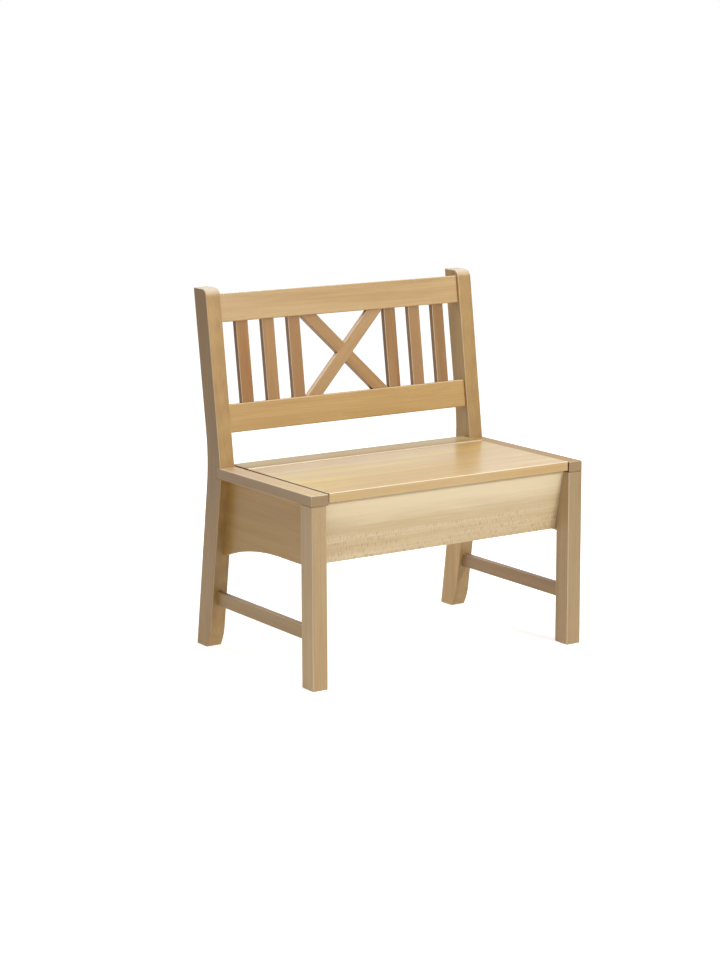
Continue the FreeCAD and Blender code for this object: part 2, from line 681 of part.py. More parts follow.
def back_slat(name, middle):
    """An upright slat between the two back rails."""
    bar = board(f"{name}_bar", "XZ_Plane", rectangle(
        f"{middle} - slat_width/2", f"{middle} + slat_width/2",
        LOWER_RAIL_TOP, TOP_RAIL_RISE), SLAT_SETBACK, "slat_thickness")
    soften(bar, f"{name}_edges", "slat_rounding", lambda edge: runs_along(edge, Z_AXIS))
    lean(bar)

    def core_outline(reach):
        return rectangle(
            f"{middle} - slat_width/2 + tenon_shoulder", f"{middle} + slat_width/2 - tenon_shoulder",
            f"{LOWER_RAIL_TOP} - {reach}", f"{TOP_RAIL_RISE} + {reach}")
    return finish(name, tenoned(name, bar, core_outline))


def brace_outline(sign, width, reach):
    """The outline of a brace that rises to the sign's side and runs past the rails' edges."""
    run = f"(2*{BRACE_REACH}/{BACK_OPENING})"
    half = f"(({width})/2*sqrt(1 + {run}^2))"
    end = f"({BRACE_REACH} + {run}*{reach})"
    low, high = f"{LOWER_RAIL_TOP} - {reach}", f"{TOP_RAIL_RISE} + {reach}"
    if sign > 0:
        return [(f"-{end} - {half}", low), (f"-{end} + {half}", low),
                (f"{end} + {half}", high), (f"{end} - {half}", high)]
    return [(f"{end} - {half}", low), (f"{end} + {half}", low),
            (f"-{end} + {half}", high), (f"-{end} - {half}", high)]


def crossing_outline():
    """The rhombus in which the two pieces of the cross meet."""
    run = f"(2*{BRACE_REACH}/{BACK_OPENING})"
    half = f"(brace_width/2*sqrt(1 + {run}^2))"
    middle = f"(({LOWER_RAIL_TOP} + {TOP_RAIL_RISE})/2)"
    return [(f"-{half}", middle), ("0", f"{middle} - {half}/{run}"),
            (half, middle), ("0", f"{middle} + {half}/{run}")]


def cross_brace(name, sign):
    """One piece of the cross, halved over the other where they meet and square-edged there."""
    bar = board(f"{name}_bar", "XZ_Plane", brace_outline(sign, "brace_width", "0"),
                SLAT_SETBACK, "slat_thickness")
    front, back = number(SLAT_SETBACK), number(f"{SLAT_SETBACK} + slat_thickness")
    soften(bar, f"{name}_edges", "slat_rounding", lambda edge:
           not runs_along(edge, X_AXIS) and not runs_along(edge, Y_AXIS)
           and (abs(edge.CenterOfMass.y - front) < NEAR or abs(edge.CenterOfMass.y - back) < NEAR))
    lean(bar)
    whole = tenoned(name, bar, lambda reach: brace_outline(
        sign, "brace_width - 2*tenon_shoulder", reach))
    crossing = board(f"{name}_crossing", "XZ_Plane", crossing_outline(),
                     SLAT_SETBACK, "slat_thickness")
    lean(crossing)
    whole = together("Part::MultiFuse", f"{name}_halving", [whole, crossing])
    if sign > 0:
        lap_start = f"({SLAT_SETBACK} + slat_thickness/2)"
    else:
        lap_start = f"({SLAT_SETBACK} - slat_thickness/2)"
    lap = board(f"{name}_lap", "XZ_Plane", brace_outline(-sign, "brace_width", "0"),
                lap_start, "slat_thickness")
    lean(lap)
    return finish(name, whole, [lap])


def hinge_leaf(name, sign):
    """A leaf of the hinge with its knuckles. The lid's leaf has the sign -1."""
    if sign < 0:
        offset = f"{HINGE_PLACE} - leaf_gap/2 - leaf_thickness"
    else:
        offset = f"{HINGE_PLACE} + leaf_gap/2"
    pitch = f"(({BARREL_END} - {BARREL_START})/knuckle_count)"
    knuckles = "floor(knuckle_count/2)" if sign < 0 else "ceil(knuckle_count/2)"
    first = f"({BARREL_START} + {pitch})" if sign < 0 else BARREL_START
    body = board(f"{name}_body", "XZ_Plane", rectangle(
        LID_LEFT, LID_RIGHT, f"{LEAF_TOP} - leaf_height", LEAF_TOP), offset, "leaf_thickness")
    tab = new_sketch(body, f"{name}_tab_outline", "XZ_Plane", offset)
    draw_outline(tab, rectangle(
        f"{first} + knuckle_gap/2", f"{first} + {pitch} - knuckle_gap/2",
        f"{LEAF_TOP} - leaf_thickness",
        f"{HINGE_HEIGHT} - (barrel_diameter + pin_diameter)/4 + leaf_gap"))
    tab_pad = pad(body, tab, f"{name}_tab", "leaf_thickness")
    ring = new_sketch(body, f"{name}_knuckle_outline", "YZ_Plane", f"{first} + knuckle_gap/2")
    draw_circle(ring, HINGE_PLACE, HINGE_HEIGHT, "barrel_diameter")
    draw_circle(ring, HINGE_PLACE, HINGE_HEIGHT, "pin_diameter + 2*pin_clearance")
    ring_pad = pad(body, ring, f"{name}_knuckle", f"{pitch} - knuckle_gap")
    row = body.newObject("PartDesign::LinearPattern", f"{name}_knuckles")
    row.Originals = [tab_pad, ring_pad]
    row.Direction = ([item for item in body.Origin.OriginFeatures if item.Role == "X_Axis"][0], [""])
    bind(row, "Occurrences", knuckles)
    bind(row, "Length", f"2*{pitch}*({knuckles} - 1)")
    body.Tip = row
    doc.recompute()
    stand(body)
    return finish(name, body, holes_of(name))


def hinge_screws(leaf, wood, sense):
    """The row of screws through one leaf, let into it flush with its inner face."""
    screws = []
    count = int(number("hinge_screw_count"))
    place = f"{HINGE_PLACE} + {sense}*leaf_gap/2"
    height = f"{LEAF_TOP} - leaf_height/2"
    for index in range(count):
        along = (f"{LID_LEFT} + screw_inset + {index}"
                 f"*({LID_RIGHT} - {LID_LEFT} - 2*screw_inset)/(hinge_screw_count - 1)")
        screws.append(screw(f"{leaf}_screw_{index + 1}", "y", sense, along, place, height,
                            "hinge_screw_length", [leaf, wood]))
    return screws


def leg_dowels():
    """The dowels of the side rails: two in each front leg and one in each rear leg."""
    dowels = []
    for side in SIDES:
        middle = f"{inset(side, '0', 'leg_width')} + leg_width/2"
        for index, depth in enumerate(
                ("rail_dowel_inset", "leg_depth - rail_dowel_inset"), start=1):
            dowels.append(dowel(f"rail_dowel_{side}_{index}", "z", middle, depth, RAIL_BOTTOM,
                                [f"front_leg_{side}", f"side_rail_{side}"]))
        dowels.append(dowel(f"rail_dowel_{side}_back", "y", middle, RAIL_END,
                            "seat_height - rail_thickness/2",
                            [f"rear_leg_{side}", f"side_rail_{side}"]))
    return dowels


def side_panel_dowels():
    """The dowels at both ends of each side panel, high and low."""
    dowels = []
    reach = f"({RAIL_BOTTOM} - {BOX_BOTTOM})"
    for side in SIDES:
        middle = (f"{inset(side, 'leg_width - board_thickness', 'board_thickness')}"
                  " + board_thickness/2")
        for index, share in enumerate((0.25, 0.75), start=1):
            height = f"({BOX_BOTTOM} + {share}*{reach})"
            dowels.append(dowel(f"panel_dowel_{side}_{index}", "y", middle, "leg_depth", height,
                                [f"front_leg_{side}", f"side_panel_{side}"]))
            dowels.append(dowel(f"panel_dowel_{side}_{index}_back", "y", middle, shin(height),
                                height, [f"rear_leg_{side}", f"side_panel_{side}"]))
    return dowels


def front_panel_dowels():
    """The dowels from the front panel's ends: two into each front leg, one into each side."""
    dowels = []
    reach = f"({PANEL_TOP} - {BOX_BOTTOM})"
    for side, sign in (("left", "-"), ("right", "")):
        for index, (share, owner) in enumerate((
                (0.12, "side_panel"), (0.6, "front_leg"), (0.88, "front_leg")), start=1):
            height = f"({BOX_BOTTOM} + {share}*{reach})"
            place = f"({panel_face(height)} + {PANEL_DEPTH}/2)"
            dowels.append(dowel(f"front_dowel_{side}_{index}", "x", f"{sign}{INNER}", place,
                                height, [f"{owner}_{side}", "front_panel"]))
    return dowels


def back_board_dowels():
    """The dowels of the back board: two into each rear leg and three up into the strip."""
    dowels = []
    middle = f"({BACK_BOARD_FRONT} + board_thickness/2)"
    reach = f"({LID_BOTTOM} - {BOX_BOTTOM})"
    for side, sign in (("left", "-"), ("right", "")):
        for index, share in enumerate((0.55, 0.8), start=1):
            dowels.append(dowel(f"back_dowel_{side}_{index}", "x", f"{sign}{INNER}", middle,
                                f"({BOX_BOTTOM} + {share}*{reach})",
                                [f"rear_leg_{side}", "back_board"]))
    for index, share in enumerate((-0.7, 0, 0.7), start=1):
        dowels.append(dowel(f"strip_dowel_{index}", "z", f"{share}*{INNER}", middle, LID_BOTTOM,
                            ["rear_seat_strip", "back_board"]))
    return dowels


def cleat_screws():
    """Three screws through each cleat into its side panel."""
    screws = []
    for side, sign, sense in (("left", "-", -1), ("right", "", 1)):
        face = f"{sign}({INNER} - cleat_width)"
        for index, share in enumerate((0.3, 0.55, 0.8), start=1):
            screws.append(screw(f"cleat_screw_{side}_{index}", "x", sense, face,
                                f"{share}*{BACK_BOARD_FRONT}", f"{BOX_BOTTOM} + cleat_height/2",
                                "cleat_screw_length",
                                [f"bottom_cleat_{side}", f"side_panel_{side}"]))
    return screws


# Fasteners first, because they cut the pieces that they hold
finish("rail_dowels", together("Part::Compound", "rail_dowel_set", leg_dowels()))
finish("side_panel_dowels", together("Part::Compound", "side_dowel_set", side_panel_dowels()))
finish("front_panel_dowels", together("Part::Compound", "front_dowel_set", front_panel_dowels()))
finish("back_board_dowels", together("Part::Compound", "back_dowel_set", back_board_dowels()))
finish("cleat_screws", together("Part::Compound", "cleat_screw_set", cleat_screws()))
finish("hinge_screws_fixed", together("Part::Compound", "fixed_screw_set", hinge_screws(
    "hinge_leaf_fixed", "rear_seat_strip", 1)))
finish("hinge_screws_lid", together("Part::Compound", "lid_screw_set", hinge_screws(
    "hinge_leaf_lid", "seat_lid", -1)))

# The back, from the slats out to the legs
for step in range(SLATS_PER_SIDE):
    place = f"({SLAT_OUTER} - {SLATS_PER_SIDE - 1 - step}*slat_pitch)"
    back_slat(f"back_slat_{SLATS_PER_SIDE - step}", f"-{place}")
    back_slat(f"back_slat_{SLATS_PER_SIDE + 1 + step}", place)
cross_brace("cross_brace_rising", 1)
cross_brace("cross_brace_falling", -1)
back_rail("top_back_rail", TOP_RAIL_RISE)
back_rail("lower_back_rail", "lower_rail_rise")

# The box, the seat and the legs
for side in SIDES:
    side_stretcher(side)
    side_panel(side)
    bottom_cleat(side)
    side_rail(side)
    rail_room(side)
    front_leg(side)
    rear_post(side)
front_panel()
back_board()
chest_bottom()
rear_strip()
seat_lid()
lid_bumpers()
hinge_leaf("hinge_leaf_fixed", 1)
hinge_leaf("hinge_leaf_lid", -1)
finish("hinge_pin", rod("hinge_pin_rod", "x", BARREL_START, HINGE_PLACE, HINGE_HEIGHT,
                        "pin_diameter", f"{BARREL_END} - {BARREL_START}"))

doc.recompute()

# Every object has to be sound before anything is written
for item in doc.Objects:
    if "Invalid" in item.State or "Error" in item.State:
        raise RuntimeError(f"{item.Label} failed: {item.State}")
for name, piece in PIECES.items():
    shape = piece.Shape
    if shape.isNull() or not shape.isValid() or not shape.Solids:
        raise RuntimeError(f"{name} has no sound shape")

os.makedirs("parts", exist_ok=True)
for name, piece in PIECES.items():
    piece.Shape.exportStep(f"parts/{name}.step")
    print(f"{name}: {len(piece.Shape.Solids)} solids, {piece.Shape.Volume / 1000:.1f} cm3")
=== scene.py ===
import math

import bmesh
import bpy
from bpy.props import FloatProperty, FloatVectorProperty, PointerProperty
from mathutils import Matrix, Vector


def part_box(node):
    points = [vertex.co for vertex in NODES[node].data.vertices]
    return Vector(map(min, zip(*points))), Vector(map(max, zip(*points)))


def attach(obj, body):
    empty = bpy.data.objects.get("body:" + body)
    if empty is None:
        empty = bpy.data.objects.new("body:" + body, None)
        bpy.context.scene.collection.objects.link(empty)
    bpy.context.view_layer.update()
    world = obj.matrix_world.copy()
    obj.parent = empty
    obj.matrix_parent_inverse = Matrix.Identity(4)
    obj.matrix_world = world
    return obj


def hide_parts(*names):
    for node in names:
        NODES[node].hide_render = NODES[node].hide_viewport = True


bl_info = {
    "name": "Chest bench",
    "version": (1, 0, 0),
    "blender": (4, 5, 0),
    "location": "View3D > Sidebar > Bench",
    "description": "Lacquered beech, hinge hardware and studio for a bench with a hinged seat",
    "category": "Object",
}

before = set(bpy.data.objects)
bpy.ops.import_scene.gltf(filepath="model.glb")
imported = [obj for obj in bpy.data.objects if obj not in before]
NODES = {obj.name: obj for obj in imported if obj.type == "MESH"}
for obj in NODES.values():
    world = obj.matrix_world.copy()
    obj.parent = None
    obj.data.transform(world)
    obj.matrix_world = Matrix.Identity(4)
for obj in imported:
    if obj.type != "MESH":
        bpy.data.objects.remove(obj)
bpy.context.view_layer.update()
SIDES = ("left", "right")
BACK_SLATS = [f"back_slat_{index}" for index in range(1, 7)]
BACK_RAKE = math.radians(7.65)
BRACE_LEAN = math.radians(47.5)


# Sizes and colours that a user may change

def colour(name, description, default):
    return FloatVectorProperty(
        name=name, description=description, default=default, size=3,
        subtype="COLOR_GAMMA", min=0.0, max=1.0)


def length(name, description, default):
    return FloatProperty(
        name=name, description=description, default=default, unit="LENGTH", precision=4)


class BenchColours(bpy.types.PropertyGroup):
    """Colours of the wood and the hardware, as they look on a screen."""

    leg: colour("Legs", "Front and rear legs", (0.80, 0.665, 0.49))
    leg_streak: colour("Leg streaks", "Darker streaks of the legs", (0.70, 0.555, 0.38))
    rail: colour("Side rails", "Side rails of the seat", (0.83, 0.715, 0.55))
    rail_streak: colour("Side rail streaks", "Darker streaks of the side rails", (0.74, 0.60, 0.43))
    lid: colour("Seat", "Lid and strip behind it", (0.93, 0.84, 0.585))
    lid_streak: colour("Seat streaks", "Darker streaks of the seat", (0.84, 0.72, 0.47))
    lid_red: colour("Seat, redder part", "Broad bands of a redder tone", (0.84, 0.72, 0.58))
    lid_under: colour("Underside of the seat", "Lid seen from below", (0.66, 0.55, 0.375))
    panel: colour("Front panel", "Pale front board of the chest", (0.855, 0.785, 0.65))
    panel_streak: colour("Front panel streaks", "Darker streaks of the panel", (0.76, 0.66, 0.495))
    panel_pale: colour("Front panel, pale part", "Sapwood of the front board", (0.90, 0.84, 0.70))
    fleck: colour("Ray flecks", "Short marks across the grain", (0.66, 0.52, 0.38))
    board: colour("Boards", "Side, back and bottom of the chest", (0.80, 0.68, 0.50))
    board_streak: colour("Board streaks", "Darker streaks of the boards", (0.71, 0.57, 0.40))
    back: colour("Back rails", "The two rails of the back", (0.83, 0.685, 0.49))
    back_streak: colour("Back rail streaks", "Darker streaks", (0.75, 0.59, 0.39))
    slat: colour("Slats", "Slats and cross", (0.76, 0.60, 0.43))
    slat_streak: colour("Slat streaks", "Darker streaks of slats and cross", (0.65, 0.48, 0.32))
    end_grain: colour("End grain", "Sawn ends of the pieces", (0.66, 0.545, 0.395))
    # Colour of the painted highlight on rounded upper edges: the paleness there is painted light.
    edge_highlight: colour("Rounded edges", "Upper edges, where the lacquer is pale", (0.99, 0.94, 0.84))
    # The rear legs' end grain: partly the wood's end grain, and partly a painted highlight, much
    # paler than other end grain, for the lit post tops.
    post_top_highlight: colour("Post tops", "Sawn tops of the rear legs", (0.93, 0.87, 0.77))
    brass: colour("Hinge", "Leaves, pin and screws of the hinge", (0.78, 0.71, 0.60))
    zinc: colour("Screws", "Screws of the cleats", (0.62, 0.62, 0.60))
    pad: colour("Pads", "Pads under the lid", (0.88, 0.87, 0.83))
    backdrop: colour("Backdrop", "Floor and backdrop", (1.0, 1.0, 1.0))


class BenchSizes(bpy.types.PropertyGroup):
    """Sizes of the small hardware that is modelled here."""

    slot_length: length("Cross slot length", "Length of the cross slot in a screw's head", 0.0032)
    slot_width: length("Cross slot width", "Width of the cross slot in a screw's head", 0.0008)
    slot_depth: length("Cross slot depth", "Depth of the cross slot in a screw's head", 0.0006)
    thread_pitch: length("Thread pitch", "Rise of the screw thread for each turn", 0.0016)
    thread_depth: length("Thread depth", "Height of the screw thread", 0.0003)
    head_bevel: length("Head bevel", "Bevel round a screw's head", 0.0002)
    pad_crown: length("Pad crown", "Rounding of a pad's upper edge", 0.0012)


class BenchStage(bpy.types.PropertyGroup):
    """Camera and lamps."""

    eye: FloatVectorProperty(
        name="Camera place", description="Where the camera stands",
        default=(-3.316, -4.894, 1.577), size=3, subtype="TRANSLATION", unit="LENGTH")
    turn: FloatProperty(
        name="Camera turn", description="From looking along +Y towards +X",
        default=math.radians(34.05), subtype="ANGLE")
    dip: FloatProperty(
        name="Camera dip", description="Downwards from level",
        default=math.radians(11.03), subtype="ANGLE")
    roll: FloatProperty(
        name="Camera roll", description="Clockwise about its own line of sight",
        default=math.radians(0.14), subtype="ANGLE")
    lens: FloatProperty(
        name="Focal length", description="In millimetres on a sensor of 36 mm",
        default=90.28, unit="CAMERA")
    shift: FloatVectorProperty(
        name="Camera shift", description="Sideways and upwards, in parts of the picture's height",
        default=(-0.0261, -0.0017), size=2)
    key: FloatProperty(name="Key lamp", description="Power of the key lamp in watts",
                       default=136.0, min=0.0)
    top: FloatProperty(name="Top lamp", description="Power of the lamp above, in watts",
                       default=66.0, min=0.0)
    rear: FloatProperty(name="Rear lamp", description="Power of the lamp high behind, in watts",
                        default=45.0, min=0.0)
    fill: FloatProperty(name="Fill lamp", description="Power of the low lamp at the left, in watts",
                        default=6.0, min=0.0)
    bounce: FloatProperty(name="Floor bounce", description="Light that the floor gives back",
                          default=0.45, min=0.0)
    sky: FloatProperty(name="Sky", description="Strength of the even light from all round",
                       default=0.05, min=0.0)


# Shader groups

def linear(value):
    """A screen colour as the shader's own numbers."""
    return tuple(c / 12.92 if c <= 0.04045 else ((c + 0.055) / 1.055) ** 2.4 for c in value[:3])


class Graph:
    """Adds nodes to a tree and joins them in one call."""

    def __init__(self, tree):
        self.tree = tree

    def add(self, kind, values=(), **settings):
        """One node. The values are numbers or sockets for its inputs."""
        node = self.tree.nodes.new(kind)
        for key, value in settings.items():
            setattr(node, key, value)
        for key, value in dict(values).items():
            socket = node.inputs[key]
            if isinstance(value, bpy.types.NodeSocket):
                self.tree.links.new(value, socket)
            else:
                socket.default_value = value
        return node

    def sums(self, operation, first, second=0.0, third=0.0):
        """One Math node."""
        return self.add("ShaderNodeMath", {0: first, 1: second, 2: third},
                        operation=operation).outputs[0]

    def vectors(self, operation, first, second=(0.0, 0.0, 0.0)):
        """One Vector Math node."""
        node = self.add("ShaderNodeVectorMath", {0: first, 1: second}, operation=operation)
        return node.outputs["Value" if operation == "DOT_PRODUCT" else "Vector"]

    def span(self, value, low, high, to_low=0.0, to_high=1.0, smooth=True):
        """Maps low to high onto a new span."""
        kind = "SMOOTHSTEP" if smooth else "LINEAR"
        node = self.add("ShaderNodeMapRange", {
            "Value": value, "From Min": low, "From Max": high,
            "To Min": to_low, "To Max": to_high}, interpolation_type=kind)
        return node.outputs["Result"]

    def noise(self, vector, scale, detail=3.0, roughness=0.55):
        """A soft noise between 0 and 1."""
        node = self.add("ShaderNodeTexNoise", {
            "Vector": vector, "Scale": scale, "Detail": detail, "Roughness": roughness})
        return node.outputs["Fac"]

    def stretch(self, vector, scale, location=(0.0, 0.0, 0.0)):
        """Scales a place along each axis and shifts it."""
        node = self.add("ShaderNodeMapping", {
            "Vector": vector, "Scale": scale, "Location": location})
        return node.outputs["Vector"]

    def split(self, vector):
        """The X, Y and Z of a vector."""
        return self.add("ShaderNodeSeparateXYZ", {0: vector}).outputs

    def blend(self, factor, first, second, mode="MIX"):
        """Mixes two colours."""
        node = self.add("ShaderNodeMix", data_type="RGBA", blend_type=mode)
        for socket, value in ((node.inputs["Factor"], factor), (node.inputs[6], first),
                              (node.inputs[7], second)):
            if isinstance(value, bpy.types.NodeSocket):
                self.tree.links.new(value, socket)
            elif isinstance(value, tuple) and len(value) == 3:
                socket.default_value = (*value, 1.0)
            else:
                socket.default_value = value
        return node.outputs[2]


def new_group(name, inputs, outputs):
    """A shader group with named sockets, and the graph and ends of its inside."""
    tree = bpy.data.node_groups.new(name, "ShaderNodeTree")
    for label, kind, default in inputs:
        socket = tree.interface.new_socket(name=label, in_out="INPUT", socket_type=kind)
        if default is not None:
            socket.default_value = default
    for label, kind in outputs:
        tree.interface.new_socket(name=label, in_out="OUTPUT", socket_type=kind)
    start = tree.nodes.new("NodeGroupInput")
    end = tree.nodes.new("NodeGroupOutput")
    return tree, Graph(tree), start.outputs, end.inputs


FLOAT = "NodeSocketFloat"
VECTOR = "NodeSocketVector"


# Scales of the grain's layers, along the grain and twice across it
GRAIN_LAYERS = {
    "sway": (1.3, 5.0, 5.0),
    "bands": (0.7, 17.0, 17.0),
    "rings": (1.0, 34.0, 16.0),
    "fine": (5.0, 300.0, 300.0),
    "hair": (14.0, 1300.0, 1300.0),
    "pores": (150.0, 1500.0, 1500.0),
}
HAIR_SHARE = 0.35
PORE_DEPTH = 0.6
STREAK_HEIGHT = 0.4


def grain_group():
    """Long grain of sawn beech. The grain runs along the vector's X."""
    tree, graph, given, result = new_group("beech grain", [
        ("Vector", VECTOR, None),
        ("Figure", FLOAT, 0.5),
        ("Waviness", FLOAT, 0.006),
    ], [("Streaks", FLOAT), ("Bands", FLOAT), ("Pores", FLOAT), ("Height", FLOAT)])
    link = tree.links.new
    along = graph.stretch(given["Vector"], GRAIN_LAYERS["sway"])
    sway = graph.add("ShaderNodeTexNoise", {"Vector": along, "Scale": 1.6, "Detail": 2.0})
    sway = graph.vectors("SUBTRACT", sway.outputs["Color"], (0.5, 0.5, 0.5))
    wave = graph.add("ShaderNodeVectorMath", {0: sway}, operation="SCALE")
    link(given["Waviness"], wave.inputs["Scale"])
    place = graph.vectors("ADD", given["Vector"], wave.outputs["Vector"])
    bands = graph.noise(graph.stretch(place, GRAIN_LAYERS["bands"]), 2.2, 3.0, 0.5)
    bands = graph.span(bands, 0.30, 0.70)
    rings = graph.add("ShaderNodeTexWave", {
        "Vector": graph.stretch(place, GRAIN_LAYERS["rings"]), "Scale": 1.0, "Distortion": 5.0,
        "Detail": 2.0, "Detail Scale": 0.6}, bands_direction="Y", wave_profile="SIN")
    broad = graph.sums("MULTIPLY_ADD", graph.sums("SUBTRACT", rings.outputs["Fac"], 0.5),
                       given["Figure"], bands)
    fine = graph.noise(graph.stretch(place, GRAIN_LAYERS["fine"]), 1.0, 4.0, 0.65)
    hair = graph.noise(graph.stretch(place, GRAIN_LAYERS["hair"]), 1.0, 2.0, 0.6)
    streaks = graph.sums("MULTIPLY_ADD", graph.span(hair, 0.35, 0.65), HAIR_SHARE,
                         graph.sums("MULTIPLY", graph.span(fine, 0.34, 0.66), 1.0 - HAIR_SHARE))
    dashes = graph.noise(graph.stretch(place, GRAIN_LAYERS["pores"]), 1.0, 1.0, 0.5)
    pores = graph.span(dashes, 0.66, 0.76)
    height = graph.sums("MULTIPLY_ADD", pores, -PORE_DEPTH,
                        graph.sums("MULTIPLY", streaks, STREAK_HEIGHT))
    link(streaks, result["Streaks"])
    link(graph.span(broad, 0.0, 1.0, smooth=False), result["Bands"])
    link(pores, result["Pores"])
    link(height, result["Height"])
    return tree


def fleck_group():
    """Short ray flecks that stand across the grain. They run along the vector's Z."""
    tree, graph, given, result = new_group("ray flecks", [
        ("Vector", VECTOR, None),
        ("Fleck Length", FLOAT, 0.011),
        ("Fleck Width", FLOAT, 0.0017),
        ("Amount", FLOAT, 0.5),
    ], [("Flecks", FLOAT)])
    link = tree.links.new
    parts = graph.split(given["Vector"])
    across = graph.sums("DIVIDE", parts["X"], given["Fleck Width"])
    upward = graph.sums("DIVIDE", parts["Z"], given["Fleck Length"])
    place = graph.add("ShaderNodeCombineXYZ", {"X": across, "Y": upward}).outputs["Vector"]
    ticks = graph.span(graph.noise(place, 0.8, 1.0, 0.4), 0.52, 0.68)
    clouds = graph.noise(graph.stretch(given["Vector"], (5.0, 5.0, 11.0)), 3.0, 2.0, 0.5)
    patch = graph.span(clouds, 0.30, 0.56)
    flecks = graph.sums("MULTIPLY", graph.sums("MULTIPLY", ticks, patch), given["Amount"])
    link(flecks, result["Flecks"])
    return tree


def edge_highlight_group():
    """The rounded upper edges of a piece, which get a painted highlight for the light that they
    catch.
    """
    tree, graph, given, result = new_group("rounded edges", [
        ("Facing", VECTOR, (0.0, 0.0, 1.0)),
        ("Height", FLOAT, 0.0),
    ], [("Mask", FLOAT)])
    size = graph.vectors("ABSOLUTE", given["Facing"])
    parts = graph.split(size)
    most = graph.sums("MAXIMUM", parts["X"], graph.sums("MAXIMUM", parts["Y"], parts["Z"]))
    rounded = graph.span(most, 0.88, 0.985, 1.0, 0.0)
    # Only edges that face upwards get the painted highlight.
    upper = graph.span(given["Height"], -0.35, 0.1)
    tree.links.new(graph.sums("MULTIPLY", rounded, upper), result["Mask"])
    return tree


RING_SHARE = 0.45


def end_group():
    """Where a surface is sawn across the grain, and the speckle that it shows there."""
    tree, graph, given, result = new_group("end grain", [
        ("Vector", VECTOR, None),
        ("Facing", VECTOR, (0.0, 0.0, 1.0)),
        ("Grain Axis", VECTOR, (1.0, 0.0, 0.0)),
    ], [("Mask", FLOAT), ("Speckle", FLOAT)])
    link = tree.links.new
    turned = graph.vectors("DOT_PRODUCT", given["Facing"], given["Grain Axis"])
    mask = graph.span(graph.sums("ABSOLUTE", turned), 0.55, 0.92)
    specks = graph.noise(given["Vector"], 900.0, 2.0, 0.6)
    rings = graph.add("ShaderNodeTexWave", {
        "Vector": graph.stretch(given["Vector"], (1.0, 1.0, 3.0)), "Scale": 90.0,
        "Distortion": 2.2, "Detail": 2.0, "Detail Scale": 1.5}, bands_direction="Z")
    speckle = graph.sums("MULTIPLY_ADD", rings.outputs["Fac"], RING_SHARE,
                         graph.sums("MULTIPLY", graph.span(specks, 0.35, 0.65), 1.0 - RING_SHARE))
    link(mask, result["Mask"])
    link(speckle, result["Speckle"])
    return tree


RIPPLE_HEIGHT = 0.1
ROUGHNESS_SPREAD = 0.03


def lacquer_group():
    """Unevenness of a sprayed satin lacquer."""
    tree, graph, given, result = new_group("satin lacquer", [
        ("Vector", VECTOR, None),
        ("Roughness", FLOAT, 0.42),
        ("Grain Height", FLOAT, 0.0),
    ], [("Roughness", FLOAT), ("Height", FLOAT)])
    link = tree.links.new
    ripple = graph.noise(given["Vector"], 160.0, 2.0, 0.5)
    cloud = graph.noise(given["Vector"], 9.0, 2.0, 0.5)
    rough = graph.sums("ADD", given["Roughness"], graph.span(
        cloud, 0.3, 0.7, -ROUGHNESS_SPREAD, ROUGHNESS_SPREAD))
    link(rough, result["Roughness"])
    link(graph.sums("MULTIPLY_ADD", given["Grain Height"], 1.0,
                    graph.sums("MULTIPLY", ripple, RIPPLE_HEIGHT)), result["Height"])
    return tree


STAVE_JOINT_WIDTH = 0.0006


def stave_group():
    """Tone steps of a board that is glued up from staves, and the hairline between them."""
    tree, graph, given, result = new_group("glued staves", [
        ("Across", FLOAT, 0.0),
        ("Stave Width", FLOAT, 0.06),
        ("Seed", FLOAT, 0.0),
    ], [("Tone", FLOAT), ("Joint", FLOAT)])
    link = tree.links.new
    count = graph.sums("DIVIDE", given["Across"], given["Stave Width"])
    whole = graph.sums("FLOOR", count)
    tone = graph.add("ShaderNodeTexWhiteNoise", {
        "W": graph.sums("ADD", whole, given["Seed"])}, noise_dimensions="1D").outputs["Value"]
    rest = graph.sums("SUBTRACT", count, whole)
    edge = graph.sums("MINIMUM", rest, graph.sums("SUBTRACT", 1.0, rest))
    metres = graph.sums("MULTIPLY", edge, given["Stave Width"])
    link(tone, result["Tone"])
    link(graph.span(metres, 0.0, STAVE_JOINT_WIDTH, 1.0, 0.0), result["Joint"])
    return tree


GROUPS = {}


def group(name):
    """Builds a shader group once."""
    makers = {"grain": grain_group, "flecks": fleck_group, "end": end_group, "edges": edge_highlight_group,
              "lacquer": lacquer_group, "staves": stave_group}
    if name not in GROUPS:
        GROUPS[name] = makers[name]()
    return GROUPS[name]


def place_group(graph, name, values):
    """Adds a shader group to a material and gives its outputs."""
    node = graph.add("ShaderNodeGroup", node_tree=group(name))
    for key, value in values.items():
        if isinstance(value, bpy.types.NodeSocket):
            graph.tree.links.new(value, node.inputs[key])
        else:
            node.inputs[key].default_value = value
    return node.outputs


# Materials

TURNS = {
    "x": Matrix.Identity(3),
    "y": Matrix.Rotation(math.radians(-90), 3, "Z"),
    "z": Matrix.Rotation(math.radians(90), 3, "Y"),
}


